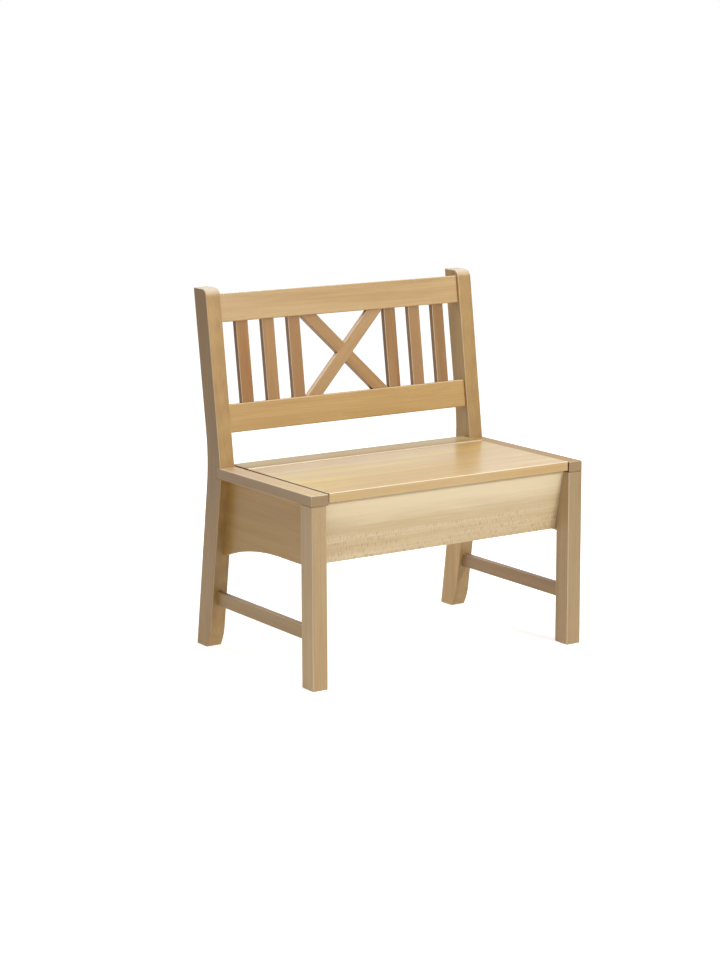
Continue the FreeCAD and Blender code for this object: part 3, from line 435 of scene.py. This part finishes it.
HUES = {
    "cool": (1.0, 1.07, 1.10),
    "fresh": (1.0, 1.07, 1.0),
    "plain": (1.0, 1.0, 1.0),
    "honey": (1.0, 1.0, 0.80),
    "tan": (1.0, 0.95, 0.70),
    "rosy": (1.0, 0.95, 0.98),
    "amber": (1.0, 0.85, 0.46),
}
PIECE_TONES = {
    "front_leg_left": ("cool", 0.81),
    "front_leg_right": ("cool", 0.66),
    "rear_leg_left": ("tan", 0.73),
    "rear_leg_right": ("honey", 0.83),
    "side_stretcher_left": ("tan", 0.65),
    "side_stretcher_right": ("plain", 0.63),
    "side_rail_left": ("plain", 1.0),
    "side_rail_right": ("amber", 0.68),
    "rear_seat_strip": ("rosy", 0.57),
    "side_panel_left": ("amber", 0.78),
    "side_panel_right": ("amber", 0.78),
    "back_board": ("plain", 0.9),
    "chest_bottom": ("plain", 0.9),
    "top_back_rail": ("cool", 0.85),
    "lower_back_rail": ("honey", 0.81),
    "back_slat_1": ("amber", 0.72),
    "back_slat_2": ("tan", 0.76),
    "back_slat_3": ("honey", 0.83),
    "back_slat_4": ("tan", 0.67),
    "back_slat_5": ("fresh", 0.89),
    "back_slat_6": ("honey", 0.72),
    "cross_brace_rising": ("fresh", 0.88),
    "cross_brace_falling": ("honey", 0.78),
}


def new_material(name):
    """An empty node material, its graph and its surface shader."""
    material = bpy.data.materials.new(name)
    material.use_nodes = True
    tree = material.node_tree
    tree.nodes.clear()
    graph = Graph(tree)
    shader = graph.add("ShaderNodeBsdfPrincipled")
    output = graph.add("ShaderNodeOutputMaterial")
    tree.links.new(shader.outputs["BSDF"], output.inputs["Surface"])
    return material, graph, shader


PORE_TINT = 0.28
STAVE_STEP = 0.22
STAVE_JOINT_TINT = 0.25
END_STREAK = 0.80
FACE_TURN = (0.6, 0.85)
COAT_ROUGHNESS = 0.2
WOOD_SPECULAR = 0.35


def faces_towards(graph, direction):
    """1 where a part of the normal says that a surface faces that way or straight away from it."""
    return graph.span(graph.sums("ABSOLUTE", direction), *FACE_TURN)


def warmed(factor):
    """A factor for red, green and blue: below 1 it darkens and turns a little yellower."""
    warm = min(factor, 1.0)
    return factor, factor * warm ** 0.25, factor * warm ** 0.7


# edge is the strength of the painted highlight on rounded upper edges.
# faces gives factors for faces that look sideways and to the front: painted light and shade.
def beech(name, light, dark, turn, seed=0.0, figure=0.5, waviness=0.006,
          staves=None, roughness=0.42, contrast=1.0, gloss=0.1, sawn=None,
          edge=0.3, faces=(1.0, 1.0), shade=None):
    """Lacquered beech. The turn brings the wood's grain onto X."""
    hue, lightness = PIECE_TONES.get(name, ("plain", 1.0))
    tone = [lightness * part for part in HUES[hue]]
    colours = bpy.context.scene.bench_colours
    sawn = sawn or colours.end_grain
    light = tuple(c * part for c, part in zip(linear(light), tone))
    dark = tuple(c * part for c, part in zip(linear(dark), tone))
    material, graph, shader = new_material(name)
    spot = graph.add("ShaderNodeTexCoord")
    angles = turn.to_euler("XYZ")
    mapped = graph.add("ShaderNodeMapping", {
        "Vector": spot.outputs["Object"], "Rotation": tuple(angles),
        "Location": (0.37 * seed, 0.61 * seed, 0.23 * seed)}).outputs["Vector"]
    grain = place_group(graph, "grain", {
        "Vector": mapped, "Figure": figure, "Waviness": waviness})
    streak = graph.sums("MULTIPLY", grain["Streaks"], 0.5 * contrast)
    mask = graph.sums("MULTIPLY_ADD", grain["Bands"], 0.5 * contrast, streak)
    if staves:
        axis, width = staves
        parts = graph.split(spot.outputs["Object"])
        tones = place_group(graph, "staves", {
            "Across": parts[axis], "Stave Width": width, "Seed": seed})
        step = graph.span(tones["Tone"], 0.0, 1.0, -STAVE_STEP, STAVE_STEP, smooth=False)
        mask = graph.sums("ADD", mask, step)
        mask = graph.sums("MULTIPLY_ADD", tones["Joint"], STAVE_JOINT_TINT, mask)
    surface = graph.blend(mask, light, dark)
    surface = graph.blend(graph.sums("MULTIPLY", grain["Pores"], PORE_TINT), surface,
                          tuple(0.5 * c for c in dark))
    if shade:
        surface = shade(graph, spot.outputs, surface, dark)
    # Painted light and shade: faces that look sideways (X) or to the front (Y) are made lighter or
    # darker by the factors in faces.
    facing = graph.split(spot.outputs["Normal"])
    for direction, factor in zip((facing["X"], facing["Y"]), faces):
        if factor != 1.0:
            surface = graph.blend(faces_towards(graph, direction), surface, warmed(factor),
                                  "MULTIPLY")
    # Painted highlight on the rounded upper edges, as strong as edge says.
    along = graph.add("ShaderNodeMapping", {
        "Vector": spot.outputs["Normal"], "Rotation": tuple(angles)}, vector_type="VECTOR")
    rounded = place_group(graph, "edges", {
        "Facing": along.outputs["Vector"], "Height": facing["Z"]})["Mask"]
    surface = graph.blend(graph.sums("MULTIPLY", rounded, edge), surface,
                          linear(colours.edge_highlight))
    axis = turn.transposed() @ Vector((1.0, 0.0, 0.0))
    ends = place_group(graph, "end", {
        "Vector": spot.outputs["Object"], "Facing": spot.outputs["Normal"],
        "Grain Axis": tuple(axis)})
    cut = graph.blend(ends["Speckle"], linear(sawn), linear([END_STREAK * c for c in sawn]))
    surface = graph.blend(ends["Mask"], surface, cut)
    finish = place_group(graph, "lacquer", {
        "Vector": spot.outputs["Object"], "Roughness": roughness,
        "Grain Height": grain["Height"]})
    bump = graph.add("ShaderNodeBump", {
        "Strength": 0.10, "Distance": 0.0004, "Height": finish["Height"]})
    link = graph.tree.links.new
    link(surface, shader.inputs["Base Color"])
    link(finish["Roughness"], shader.inputs["Roughness"])
    link(bump.outputs["Normal"], shader.inputs["Normal"])
    shader.inputs["Specular IOR Level"].default_value = WOOD_SPECULAR
    shader.inputs["Coat Weight"].default_value = gloss
    shader.inputs["Coat Roughness"].default_value = COAT_ROUGHNESS
    return material


def metal(name, tint, roughness, brushed):
    """Plated metal, brushed along X."""
    material, graph, shader = new_material(name)
    spot = graph.add("ShaderNodeTexCoord")
    lines = graph.noise(graph.stretch(spot.outputs["Object"], brushed), 1.0, 3.0, 0.6)
    cloud = graph.noise(spot.outputs["Object"], 45.0, 2.0, 0.5)
    surface = graph.blend(graph.span(cloud, 0.3, 0.7, 0.0, 0.35), linear(tint),
                          linear([0.86 * c for c in tint]))
    bump = graph.add("ShaderNodeBump", {"Strength": 0.12, "Distance": 0.0001, "Height": lines})
    link = graph.tree.links.new
    link(surface, shader.inputs["Base Color"])
    link(graph.span(lines, 0.3, 0.7, roughness - 0.06, roughness + 0.06),
         shader.inputs["Roughness"])
    link(bump.outputs["Normal"], shader.inputs["Normal"])
    shader.inputs["Metallic"].default_value = 1.0
    return material


def soft_plastic(name, tint):
    """Pale moulded plastic with a fine texture."""
    material, graph, shader = new_material(name)
    spot = graph.add("ShaderNodeTexCoord")
    grit = graph.noise(spot.outputs["Object"], 2200.0, 2.0, 0.5)
    cloud = graph.noise(spot.outputs["Object"], 260.0, 2.0, 0.5)
    surface = graph.blend(graph.span(cloud, 0.3, 0.7, 0.0, 0.4), linear(tint),
                          linear([0.92 * c for c in tint]))
    bump = graph.add("ShaderNodeBump", {"Strength": 0.2, "Distance": 0.0001, "Height": grit})
    link = graph.tree.links.new
    link(surface, shader.inputs["Base Color"])
    link(graph.span(grit, 0.3, 0.7, 0.45, 0.6), shader.inputs["Roughness"])
    link(bump.outputs["Normal"], shader.inputs["Normal"])
    return material


def dress(node, material):
    """Gives a carried-over piece its material."""
    mesh = NODES[node].data
    mesh.materials.clear()
    mesh.materials.append(material)


def dress_wood(node, light, dark, turn, **options):
    """Gives a carried-over piece a beech of its own."""
    dress(node, beech(node, light, dark, turn, **options))


# Spans of height on the front panel, in parts of its height
PANEL_PALE = (0.55, 0.85)
PANEL_BAND_RISE = (0.36, 0.50)
PANEL_BAND_FALL = (0.50, 0.66)
PANEL_FLECKS_END = (0.40, 0.54)
PANEL_SWAY = 0.45
LID_SHADOW = (0.007, 0.003)


def panel_shade(graph, spot, surface, dark):
    """Pale upper part of the front panel, a tan band and ray flecks in its lower half, and a
    painted shadow under the lid.
    """
    colours = bpy.context.scene.bench_colours
    low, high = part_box("front_panel")
    parts = graph.split(spot["Object"])
    sway = graph.noise(graph.stretch(spot["Object"], (2.2, 2.0, 9.0)), 1.5, 3.0, 0.5)
    height = graph.span(parts["Z"], low[2], high[2], 0.0, 1.0, smooth=False)
    height = graph.sums("MULTIPLY_ADD", graph.sums("SUBTRACT", sway, 0.5), PANEL_SWAY, height)
    pale = graph.span(height, *PANEL_PALE)
    surface = graph.blend(graph.sums("MULTIPLY", pale, 0.65), surface, linear(colours.panel_pale))
    rise = graph.span(height, *PANEL_BAND_RISE)
    band = graph.sums("MULTIPLY", rise, graph.span(height, *PANEL_BAND_FALL, 1.0, 0.0))
    surface = graph.blend(graph.sums("MULTIPLY", band, 0.5), surface, dark)
    lower = graph.span(height, *PANEL_FLECKS_END, 1.0, 0.0)
    ticks = place_group(graph, "flecks", {"Vector": spot["Object"], "Amount": 0.6})["Flecks"]
    surface = graph.blend(graph.sums("MULTIPLY", ticks, lower), surface, linear(colours.fleck))
    # Painted shadow along the top of the panel, under the lid's front edge.
    start, full = (high[2] - drop for drop in LID_SHADOW)
    under = graph.span(parts["Z"], start, full, 0.0, 0.35)
    return graph.blend(under, surface, tuple(0.55 * c for c in dark))


def strip_shade(graph, spot, surface, dark):
    """The strip is darker towards the hinge."""
    low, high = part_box("rear_seat_strip")
    depth = graph.split(spot["Object"])["Y"]
    size = high[1] - low[1]
    near = graph.span(depth, low[1] + 0.3 * size, low[1] + 0.6 * size, 0.75, 0.0)
    return graph.blend(near, surface, tuple(0.88 * c for c in dark))


# Painted shade on the rear legs' front faces and painted light on their sides, below the seat.
SHIN_SPAN = (0.25, 0.46)
SHIN_FRONT_SHADE = (0.88, 0.92, 1.02)
SHIN_SIDE_LIGHT = (1.20, 1.26, 1.42)


def rear_leg_light_and_shade(graph, spot, surface, dark):
    """Painted light and shade: below the seat a rear leg is darker in front and lighter at its
    sides.
    """
    height = graph.split(spot["Object"])["Z"]
    facing = graph.split(spot["Normal"])
    low = graph.span(height, *SHIN_SPAN, 1.0, 0.0)
    for axis, tint in (("Y", SHIN_FRONT_SHADE), ("X", SHIN_SIDE_LIGHT)):
        turned = faces_towards(graph, facing[axis])
        surface = graph.blend(graph.sums("MULTIPLY", low, turned), surface, tint, "MULTIPLY")
    return surface


RAIL_FADE = (-0.24, 0.10)
RAIL_FRONT_TINT = (1.15, 1.28, 1.38)


def left_rail_shade(graph, spot, surface, dark):
    """The left side rail is paler towards its front end."""
    depth = graph.split(spot["Object"])["Y"]
    return graph.blend(graph.span(depth, *RAIL_FADE, 1.0, 0.0), surface, RAIL_FRONT_TINT,
                       "MULTIPLY")


LID_HINGE_REACH = 0.15
LID_HINGE_TINT = (0.84, 0.80, 0.78)
LID_RIGHT_FADE = (0.05, 0.33)
LID_RIGHT_TINT = (0.95, 0.90, 0.82)


def lid_shade(graph, spot, surface, dark):
    """Redder bands in the lid, darker tones at the hinge and the right end, and its underside."""
    colours = bpy.context.scene.bench_colours
    place = graph.stretch(spot["Object"], (1.4, 9.0, 1.0), (0.3, 0.1, 0.0))
    red = graph.span(graph.noise(place, 1.6, 2.0, 0.5), 0.42, 0.64, 0.0, 0.5)
    surface = graph.blend(red, surface, linear(colours.lid_red))
    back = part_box("seat_lid")[1][1]
    parts = graph.split(spot["Object"])
    for part, fade, tint in (("Y", (back - LID_HINGE_REACH, back), LID_HINGE_TINT),
                             ("X", LID_RIGHT_FADE, LID_RIGHT_TINT)):
        surface = graph.blend(graph.span(parts[part], *fade), surface, tint, "MULTIPLY")
    upward = graph.split(spot["Normal"])["Z"]
    under = graph.span(upward, -0.8, -0.1, 0.75, 0.0)
    return graph.blend(under, surface, linear(colours.lid_under))


# Pieces

class BenchStep:
    """Shared options of the bench's operators."""

    bl_options = {"REGISTER", "UNDO"}


# Painted light and shade on the rear legs: factors for their sideways and front faces.
REAR_LEG_LIGHT_AND_SHADE = {"left": (0.78, 1.05), "right": (1.04, 0.88)}


class BENCH_OT_legs(BenchStep, bpy.types.Operator):
    """Finishes the four legs"""

    bl_idname = "bench.legs"
    bl_label = "Legs"

    def execute(self, context):
        colours = context.scene.bench_colours
        for index, side in enumerate(SIDES):
            # The front legs' sideways faces are painted lighter: painted light.
            dress_wood(f"front_leg_{side}", colours.leg, colours.leg_streak, TURNS["z"],
                       seed=index + 1, faces=(1.2, 1.0))
            # The rear legs' end grain gets the pale post top colour, a painted highlight.
            dress_wood(f"rear_leg_{side}", colours.leg, colours.leg_streak, TURNS["z"],
                       seed=index + 3, sawn=colours.post_top_highlight, faces=REAR_LEG_LIGHT_AND_SHADE[side],
                       shade=rear_leg_light_and_shade)
        return {"FINISHED"}


class BENCH_OT_side_rails(BenchStep, bpy.types.Operator):
    """Finishes the side rails and the stretchers"""

    bl_idname = "bench.side_rails"
    bl_label = "Side rails and stretchers"

    def execute(self, context):
        colours = context.scene.bench_colours
        for index, side in enumerate(SIDES):
            # The side rails' sideways faces are painted darker: painted shade.
            dress_wood(f"side_rail_{side}", colours.rail, colours.rail_streak, TURNS["y"],
                       seed=index + 5, edge=0.45, faces=(0.57, 1.0),
                       shade=left_rail_shade if side == "left" else None)
            dress_wood(f"side_stretcher_{side}", colours.leg, colours.leg_streak, TURNS["y"],
                       seed=index + 7)
        return {"FINISHED"}


class BENCH_OT_seat(BenchStep, bpy.types.Operator):
    """Finishes the lid and the strip behind it"""

    bl_idname = "bench.seat"
    bl_label = "Seat"

    def execute(self, context):
        colours = context.scene.bench_colours
        # The lid's front face is painted darker (painted shade), and its upper edges get the full
        # painted highlight.
        dress_wood("seat_lid", colours.lid, colours.lid_streak, TURNS["x"], seed=9,
                   figure=0.35, staves=("Y", 0.0725), roughness=0.32, gloss=0.25,
                   contrast=1.35, edge=1.0, faces=(1.0, 0.80), shade=lid_shade)
        dress_wood("rear_seat_strip", colours.lid, colours.lid_streak, TURNS["x"], seed=10,
                   shade=strip_shade)
        return {"FINISHED"}


class BENCH_OT_chest(BenchStep, bpy.types.Operator):
    """Finishes the boards of the chest, and its cleats and dowels"""

    bl_idname = "bench.chest"
    bl_label = "Chest"

    def execute(self, context):
        colours = context.scene.bench_colours
        dress_wood("front_panel", colours.panel, colours.panel_streak, TURNS["x"], seed=11,
                   figure=0.3, shade=panel_shade)
        light, dark = colours.board, colours.board_streak
        for index, side in enumerate(SIDES):
            dress_wood(f"side_panel_{side}", light, dark, TURNS["y"], seed=index + 12,
                       contrast=0.75)
        for seed, node, turn in (
                (14, "back_board", "x"), (15, "chest_bottom", "x"),
                (16, "bottom_cleat_left", "y"), (17, "bottom_cleat_right", "y"),
                (18, "rail_dowels", "x"), (19, "side_panel_dowels", "x"),
                (20, "front_panel_dowels", "x"), (21, "back_board_dowels", "x")):
            dress_wood(node, light, dark, TURNS[turn], seed=seed)
        return {"FINISHED"}


class BENCH_OT_back(BenchStep, bpy.types.Operator):
    """Finishes the rails, slats and cross of the back"""

    bl_idname = "bench.back"
    bl_label = "Back"

    def execute(self, context):
        colours = context.scene.bench_colours
        rake = Matrix.Rotation(BACK_RAKE, 3, "X")
        for index, node in enumerate(("top_back_rail", "lower_back_rail")):
            dress_wood(node, colours.back, colours.back_streak, TURNS["x"] @ rake,
                       seed=index + 22, figure=1.0, waviness=0.012, contrast=1.15)
        # The slats' sideways faces are painted darker: painted shade.
        for index, node in enumerate(BACK_SLATS):
            dress_wood(node, colours.slat, colours.slat_streak, TURNS["z"] @ rake,
                       seed=index + 24, figure=1.1, waviness=0.010, contrast=1.4, edge=0.6,
                       faces=(0.78, 1.0))
        # The rising brace's sideways faces are painted lighter and the falling one's darker:
        # painted light and shade.
        for node, sign, side in (("cross_brace_rising", 1, 1.70),
                                 ("cross_brace_falling", -1, 0.80)):
            lean = Matrix.Rotation(-sign * BRACE_LEAN, 3, "Y")
            dress_wood(node, colours.slat, colours.slat_streak, TURNS["z"] @ lean @ rake,
                       seed=31 + sign, edge=0.5, faces=(side, 1.0))
        return {"FINISHED"}


def solids(node):
    """Lowest and highest corner, and the vertices, of each solid of a CAD node."""
    mesh = bmesh.new()
    mesh.from_mesh(NODES[node].data)
    bmesh.ops.remove_doubles(mesh, verts=mesh.verts, dist=1e-6)
    left, found = set(mesh.verts), []
    while left:
        heap, part = [left.pop()], []
        while heap:
            vertex = heap.pop()
            part.append(vertex.co.copy())
            for edge in vertex.link_edges:
                other = edge.other_vert(vertex)
                if other in left:
                    left.remove(other)
                    heap.append(other)
        low = Vector(map(min, zip(*part)))
        high = Vector(map(max, zip(*part)))
        found.append((low, high, part))
    mesh.free()
    return sorted(found, key=lambda solid: tuple(round(c, 4) for c in solid[0]))


def finish_piece(mesh, name, node, body, material):
    """Turns a mesh in the making into a piece that stands for a CAD node."""
    bmesh.ops.remove_doubles(mesh, verts=mesh.verts, dist=1e-7)
    bmesh.ops.recalc_face_normals(mesh, faces=mesh.faces)
    for face in mesh.faces:
        face.smooth = True
    data = bpy.data.meshes.new(name)
    mesh.to_mesh(data)
    mesh.free()
    data.set_sharp_from_angle(angle=math.radians(35.0))
    data.materials.append(material)
    piece = bpy.data.objects.new(name, data)
    bpy.context.scene.collection.objects.link(piece)
    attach(piece, body)
    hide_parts(node)


HEAD_SEGMENTS = 24
THREAD_STEPS = 16
PAD_SEGMENTS = 48
PAD_ROUNDING_STEPS = 5


def add_head(mesh, radius, thickness, sizes):
    """A flat screw head with a cross slot. Its outer face lies at Z 0 and it reaches down."""
    long, wide = sizes.slot_length / 2, sizes.slot_width / 2
    corners = [(long, -wide), (long, wide), (wide, wide)]
    outline = [Matrix.Rotation(math.radians(90 * turn), 2) @ Vector(corner)
               for turn in range(4) for corner in corners]
    cross = mesh.faces.new([mesh.verts.new((*corner, 0.0)) for corner in outline])
    ring = bmesh.ops.create_circle(
        mesh, segments=HEAD_SEGMENTS, radius=radius - sizes.head_bevel)["verts"]
    rim = [edge for edge in mesh.edges if edge.verts[0] in ring and edge.verts[1] in ring]
    bmesh.ops.triangle_fill(mesh, use_beauty=True, edges=rim + list(cross.edges))
    bmesh.ops.inset_region(mesh, faces=[cross], thickness=sizes.slot_width / 6,
                           depth=-sizes.slot_depth, use_even_offset=True)
    for reach, drop in ((radius, sizes.head_bevel), (radius, thickness)):
        made = bmesh.ops.extrude_edge_only(mesh, edges=rim)["geom"]
        rim = [item for item in made if isinstance(item, bmesh.types.BMEdge)
               and item.is_boundary]
        for vertex in {vertex for edge in rim for vertex in edge.verts}:
            vertex.co = (*(vertex.co.xy.normalized() * reach), -drop)
    bmesh.ops.holes_fill(mesh, edges=rim, sides=0)


def add_thread(mesh, radius, start, length, sizes):
    """A threaded shank with a pointed end. It hangs from Z start."""
    pitch, core = sizes.thread_pitch, radius - sizes.thread_depth
    turns = int((length - 2 * radius) / pitch) - 1
    profile = [(core, 0.0), (radius, -0.25 * pitch), (core, -0.5 * pitch), (core, -pitch)]
    spots = [mesh.verts.new((across, 0.0, start + down)) for across, down in profile]
    wire = [mesh.edges.new(pair) for pair in zip(spots, spots[1:])]
    bmesh.ops.spin(mesh, geom=spots + wire, axis=(0, 0, 1), cent=(0, 0, 0),
                   dvec=(0, 0, -pitch / THREAD_STEPS), angle=math.radians(360 * turns),
                   steps=THREAD_STEPS * turns)
    bmesh.ops.remove_doubles(mesh, verts=mesh.verts, dist=1e-6)
    bmesh.ops.holes_fill(mesh, edges=[edge for edge in mesh.edges if edge.is_boundary], sides=0)


def off_axis(corner, middle, axis):
    """How far a corner lies from the line through the middle along an axis."""
    way = corner - middle
    way[axis] = 0.0
    return way.length


def screw_set(node, body, material, sizes):
    """Every screw of a CAD node, with its slot, thread and point."""
    whole = bmesh.new()
    for low, high, corners in solids(node):
        size = high - low
        axis = max(range(3), key=lambda index: size[index])
        middle = (low + high) / 2
        across = max(size[index] for index in range(3) if index != axis) / 2
        ends = sorted(corner[axis] for corner in corners
                      if off_axis(corner, middle, axis) > 0.8 * across)
        sense = 1.0 if ends[0] + ends[-1] > 2 * middle[axis] else -1.0
        thickness = ends[-1] - ends[0]
        narrow = min(off_axis(corner, middle, axis) for corner in corners
                     if (corner - middle)[axis] * sense < 0)
        one = bmesh.new()
        add_head(one, across, thickness, sizes)
        add_thread(one, narrow, -0.9 * thickness, size[axis] - thickness, sizes)
        way = Vector([sense if index == axis else 0.0 for index in range(3)])
        place = middle.copy()
        place[axis] = high[axis] if sense > 0 else low[axis]
        turn = way.to_track_quat("Z", "Y").to_matrix().to_4x4()
        bmesh.ops.transform(one, matrix=Matrix.Translation(place) @ turn, verts=one.verts)
        step = bpy.data.meshes.new("screw")
        one.to_mesh(step)
        one.free()
        whole.from_mesh(step)
        bpy.data.meshes.remove(step)
    finish_piece(whole, f"{node}_threaded", node, body, material)


def pad_set(node, body, material, sizes):
    """Round pads with a soft upper rim."""
    whole = bmesh.new()
    for low, high, corners in solids(node):
        middle = (low + high) / 2
        made = bmesh.ops.create_cone(
            whole, cap_ends=True, segments=PAD_SEGMENTS, radius1=(high.x - low.x) / 2,
            radius2=(high.x - low.x) / 2, depth=high.z - low.z,
            matrix=Matrix.Translation(middle))["verts"]
        rim = {edge for vertex in made for edge in vertex.link_edges
               if all(end.co.z > middle.z for end in edge.verts)}
        bmesh.ops.bevel(whole, geom=list(rim), offset=sizes.pad_crown, affect="EDGES",
                        segments=PAD_ROUNDING_STEPS, profile=0.5, material=-1)
    finish_piece(whole, f"{node}_rounded", node, body, material)


class BENCH_OT_hardware(BenchStep, bpy.types.Operator):
    """Finishes the hinge, the screws and the pads"""

    bl_idname = "bench.hardware"
    bl_label = "Hardware"

    def execute(self, context):
        colours, sizes = context.scene.bench_colours, context.scene.bench_sizes
        brass = metal("brass", colours.brass, 0.46, (60.0, 2500.0, 2500.0))
        zinc = metal("zinc", colours.zinc, 0.38, (900.0, 900.0, 900.0))
        for node in ("hinge_leaf_fixed", "hinge_leaf_lid", "hinge_pin"):
            dress(node, brass)
        pads = soft_plastic("pads", colours.pad)
        for node, body, material, slot in (
                ("hinge_screws_fixed", "frame", brass, "hinge_brass"),
                ("hinge_screws_lid", "lid", brass, "hinge_brass"),
                ("cleat_screws", "frame", zinc, "screw_steel")):
            screw_set(node, body, material, sizes)
        pad_set("lid_bumpers", "frame", pads, sizes)
        return {"FINISHED"}


# Studio

def look(camera, stage):
    """Stands the camera and turns it as the stage says."""
    turn, dip = stage.turn, stage.dip
    ahead = Vector((math.sin(turn) * math.cos(dip), math.cos(turn) * math.cos(dip),
                    -math.sin(dip)))
    level = Vector((math.cos(turn), -math.sin(turn), 0.0))
    upright = level.cross(ahead)
    side = (math.cos(stage.roll) * level - math.sin(stage.roll) * upright).normalized()
    upright = side.cross(ahead)
    turned = Matrix((side, upright, -ahead)).transposed().to_4x4()
    camera.matrix_world = Matrix.Translation(Vector(stage.eye)) @ turned


def area_lamp(name, place, target, size, power, tint):
    """A square lamp that faces its target."""
    data = bpy.data.lights.new(name, "AREA")
    data.shape = "SQUARE"
    data.size = size
    data.energy = power
    data.color = tint
    lamp = bpy.data.objects.new(name, data)
    bpy.context.scene.collection.objects.link(lamp)
    way = Vector(target) - Vector(place)
    lamp.matrix_world = (Matrix.Translation(Vector(place))
                         @ way.to_track_quat("-Z", "Y").to_matrix().to_4x4())


def seen_rays(graph):
    """1 where a surface is seen by the camera, in a gloss or through something clear."""
    rays = graph.add("ShaderNodeLightPath").outputs
    seen = graph.sums("MAXIMUM", rays["Is Camera Ray"], rays["Is Glossy Ray"])
    return graph.sums("MAXIMUM", seen, rays["Is Transmission Ray"])


# How bright the floor is seen near the bench, and how far from it that and its own light reach
NEAR_FLOOR = 0.68
SEEN_REACH = (0.5, 1.6)
BOUNCE_REACH = (0.5, 1.5)
FLOOR_GREY = 0.78


def white_floor(tint, bounce):
    """A floor that is seen as white, keeps a faint shadow and is clear from below."""
    material = bpy.data.materials.new("floor")
    material.use_nodes = True
    tree = material.node_tree
    tree.nodes.clear()
    graph = Graph(tree)
    spot = graph.add("ShaderNodeTexCoord").outputs["Object"]
    away = graph.add("ShaderNodeVectorMath", {0: spot}, operation="LENGTH").outputs["Value"]
    seen = graph.span(away, *SEEN_REACH, NEAR_FLOOR, 1.0)
    cast = graph.span(away, *BOUNCE_REACH, bounce, 0.0)
    rays = seen_rays(graph)
    unseen = graph.sums("MULTIPLY", cast, graph.sums("SUBTRACT", 1.0, rays))
    plain = graph.add("ShaderNodeBsdfDiffuse", {
        "Color": (FLOOR_GREY, FLOOR_GREY, FLOOR_GREY, 1.0)})
    glow = graph.add("ShaderNodeEmission", {
        "Color": (*linear(tint), 1.0),
        "Strength": graph.sums("MULTIPLY_ADD", seen, rays, unseen)})
    both = graph.add("ShaderNodeAddShader", {0: plain.outputs[0], 1: glow.outputs[0]})
    clear = graph.add("ShaderNodeBsdfTransparent")
    below = graph.add("ShaderNodeNewGeometry").outputs["Backfacing"]
    whole = graph.add("ShaderNodeMixShader", {0: below, 1: both.outputs[0], 2: clear.outputs[0]})
    graph.add("ShaderNodeOutputMaterial", {"Surface": whole.outputs[0]})
    return material


WHITE = (1.0, 1.0, 1.0)
FLOOR_SIZE = 20.0
# Name, the setting of its power, place, target, size and tint of each lamp
LAMPS = (
    ("key", "key", (1.4, -4.4, 2.5), (0.0, 0.0, 0.45), 1.5, (1.0, 0.985, 0.96)),
    ("top", "top", (0.2, -0.6, 3.4), (0.0, 0.0, 0.45), 2.4, WHITE),
    ("rear", "rear", (-0.9, 2.6, 2.6), (0.0, 0.0, 0.6), 1.6, WHITE),
    ("low fill", "fill", (-1.9, -1.3, 0.25), (-0.4, -0.2, 0.2), 0.9, WHITE),
)


class BENCH_OT_stage(BenchStep, bpy.types.Operator):
    """Builds the floor, the even light, the lamps and the camera"""

    bl_idname = "bench.stage"
    bl_label = "Studio"

    def execute(self, context):
        scene = context.scene
        stage, colours = scene.bench_stage, scene.bench_colours
        scene.view_settings.view_transform = "Standard"

        mesh = bmesh.new()
        bmesh.ops.create_grid(mesh, x_segments=1, y_segments=1, size=FLOOR_SIZE)
        data = bpy.data.meshes.new("floor")
        mesh.to_mesh(data)
        mesh.free()
        floor = bpy.data.objects.new("floor", data)
        scene.collection.objects.link(floor)
        data.materials.append(white_floor(colours.backdrop, stage.bounce))

        world = bpy.data.worlds.new("even light")
        scene.world = world
        world.use_nodes = True
        tree = world.node_tree
        tree.nodes.clear()
        graph = Graph(tree)
        strength = graph.add("ShaderNodeMapRange", {
            "Value": seen_rays(graph), "To Min": stage.sky, "To Max": 1.0}).outputs["Result"]
        back = graph.add("ShaderNodeBackground", {
            "Color": (*linear(colours.backdrop), 1.0), "Strength": strength})
        output = graph.add("ShaderNodeOutputWorld")
        tree.links.new(back.outputs["Background"], output.inputs["Surface"])

        for name, setting, place, target, size, tint in LAMPS:
            area_lamp(name, place, target, size, getattr(stage, setting), tint)

        data = bpy.data.cameras.new("camera")
        data.lens = stage.lens
        data.sensor_width = 36.0
        data.shift_x, data.shift_y = stage.shift
        data.clip_end = 60.0
        camera = bpy.data.objects.new("camera", data)
        scene.collection.objects.link(camera)
        look(camera, stage)
        scene.camera = camera
        return {"FINISHED"}


class BENCH_PT_steps(bpy.types.Panel):
    """The bench's steps, colours and sizes"""

    bl_idname = "BENCH_PT_steps"
    bl_label = "Bench"
    bl_space_type = "VIEW_3D"
    bl_region_type = "UI"
    bl_category = "Bench"

    def draw(self, context):
        column = self.layout.column()
        for step in STEPS:
            column.operator(step.bl_idname)
        for group_of in (context.scene.bench_colours, context.scene.bench_sizes,
                         context.scene.bench_stage):
            for key in type(group_of).__annotations__:
                column.prop(group_of, key)


STEPS = (BENCH_OT_legs, BENCH_OT_side_rails, BENCH_OT_seat, BENCH_OT_chest, BENCH_OT_back,
         BENCH_OT_hardware, BENCH_OT_stage)
CLASSES = (BenchColours, BenchSizes, BenchStage) + STEPS + (BENCH_PT_steps,)


def register():
    for item in CLASSES:
        bpy.utils.register_class(item)
    bpy.types.Scene.bench_colours = PointerProperty(type=BenchColours)
    bpy.types.Scene.bench_sizes = PointerProperty(type=BenchSizes)
    bpy.types.Scene.bench_stage = PointerProperty(type=BenchStage)


def unregister():
    del bpy.types.Scene.bench_stage
    del bpy.types.Scene.bench_sizes
    del bpy.types.Scene.bench_colours
    for item in reversed(CLASSES):
        bpy.utils.unregister_class(item)


def main():
    register()
    for step in STEPS:
        area, name = step.bl_idname.split(".")
        getattr(getattr(bpy.ops, area), name)()


if __name__ == "__main__":
    main()
